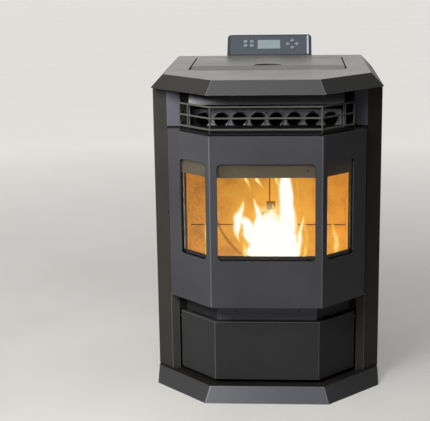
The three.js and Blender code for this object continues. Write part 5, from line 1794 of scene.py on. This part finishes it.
@dataclass
class AshDrawer:
    """Bay-fronted ash drawer on its runners."""

    width: float = 1.4

    def build(self) -> None:
        """Dress the drawer."""
        # painted shade: the drawer front takes a darker copy of the paint, for the door's shade
        soften("ash_drawer_front", Body.DRAWER, SHADED_PAINT, EDGE_HIGHLIGHT_PAINT, self.width)
        soften("ash_pan", Body.DRAWER, ZINC_SHEET, width=0.4)
        keep("drawer_runner_left", MILL_STEEL)
        keep("drawer_runner_right", MILL_STEEL)


@dataclass
class FuelStore:
    """Hopper, lid, auger and its gearmotor, and the chute to the pot."""

    lid_width: float = 1.0
    lid_crease: float = 342.0

    def build(self) -> None:
        """Dress the fuel store."""
        lid = soften("hopper_lid", Body.LID, TOP_PAINT, EDGE_HIGHLIGHT_PAINT, self.lid_width)
        # painted shade: the lid's sloping front, before the crease, is darker
        repaint(lid, LID_BAND_SHADE_PAINT, lambda middle, normal: middle.y < self.lid_crease and normal.z > MOSTLY)
        keep("hopper", MATT_BLACK)
        keep("lid_hinge", MATT_BLACK)
        keep("auger_tube", MILL_STEEL)
        keep("auger_screw", MILL_STEEL)
        keep("feed_chute", CHUTE_STEEL)
        soften("auger_motor", Body.CABINET, MATT_BLACK, width=1.0)


@dataclass
class Blowers:
    """Exhaust and warm-air blowers with their ducts, the flue spigot and the air intake."""

    iron: tuple[str, ...] = ("exhaust_blower_housing",)
    steel: tuple[str, ...] = ("exhaust_duct", "exhaust_impeller", "air_impeller")
    zinc: tuple[str, ...] = ("air_duct", "air_blower_housing", "flue_collar", "air_intake_pipe")
    black: tuple[str, ...] = ("exhaust_motor", "air_motor")

    def build(self) -> None:
        """Dress the blowers and ducts."""
        for nodes, finish in (
            (self.iron, IRON), (self.steel, MILL_STEEL), (self.zinc, ZINC_SHEET), (self.black, MATT_BLACK)
        ):
            for node in nodes:
                keep(node, finish)
        soften("power_inlet", Body.CABINET, CASE_PLASTIC, width=0.5)


# ---------------------------------------------------------------- control panel


@dataclass
class ControlPanel:
    """Tilted control panel: case, membrane, display and keys."""

    foot: tuple[float, float] = (606.0, 838.0)
    tilt: float = 44.0
    strip: tuple[float, float, float, float] = (110.4, 115.4, 7.6, 77.4)
    strip_rise: float = 0.25

    def build(self) -> None:
        """Dress the panel and its keys, and lay a pale strip beside the face as a painted highlight."""
        soften("panel_case", Body.CABINET, CASE_PLASTIC, width=1.6)
        soften("panel_face", Body.CABINET, NAVY, width=0.2)
        soften("display_window", Body.CABINET, LCD, width=0.2)
        for i in range(1, 5):
            self.key(f"button_{i}", f"button_{i}_body")
        for way in ("up", "down", "left", "right"):
            self.key(f"key_{way}", f"key_{way}_body")
        # painted highlight: the pale strip stands for the light on the face's right edge
        self.plate("panel_highlight_strip", self.strip, self.strip_rise, PANEL_HIGHLIGHT_STRIP)

    def key(self, node: str, body: str) -> Piece:
        """Replace one key with a crowned copy that rides on its own body."""
        piece = from_bmesh(node + "_cap", merged_copy(node))
        piece.data.materials.clear()
        dress(piece, KEY_GREY)
        rounded(piece, 0.5, 3)
        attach(piece, body)
        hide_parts(node)
        LOG.info("%s on %s", piece.name, body)
        return piece

    def at(self, s: float, t: float, n: float) -> Vector:
        """Return a point from its place across, up and out of the panel's face."""
        a = math.radians(self.tilt)
        y, z = self.foot
        return place(
            s, y + t * math.cos(a) - n * math.sin(a), z + t * math.sin(a) + n * math.cos(a)
        )

    def plate(
        self, name: str, area: tuple[float, float, float, float], rise: float, finish: Finish
    ) -> Piece:
        """Lay a thin plate on the panel's face.

        Args:
            name: the piece's name.
            area: its lowest and highest place across, then up the face.
            rise: how far it stands proud.
            finish: its finish.

        Returns:
            The plate.
        """
        x0, x1, t0, t1 = area
        bm = bmesh.new()
        corners = [(x0, t0), (x1, t0), (x1, t1), (x0, t1)]
        low = [bm.verts.new(self.at(s, t, 0.02)) for s, t in corners]
        high = [bm.verts.new(self.at(s, t, rise)) for s, t in corners]
        bm.faces.new(low[::-1])
        bm.faces.new(high)
        for k in range(4):
            j = (k + 1) % 4
            bm.faces.new((low[k], low[j], high[j], high[k]))
        bmesh.ops.recalc_face_normals(bm, faces=bm.faces)
        piece = from_bmesh(name, bm)
        dress(piece, finish)
        rounded(piece, 0.08, 1)
        return settle(piece, Body.CABINET)


# ---------------------------------------------------------------- the whole stove


def main() -> None:
    """Build the studio and the stove."""
    logging.basicConfig(level=logging.INFO, format="%(name)s: %(message)s")
    Studio().build()
    screws = ScrewMaker()
    Cabinet().build(screws)
    Door().build(screws)
    Firebox().build()
    Fire().build()
    WarmAirOutlet().build()
    AshDrawer().build()
    FuelStore().build()
    Blowers().build()
    ControlPanel().build()
    bpy.context.scene.view_settings.view_transform = "Standard"
    LOG.info("done")


if __name__ == "__main__":
    main()
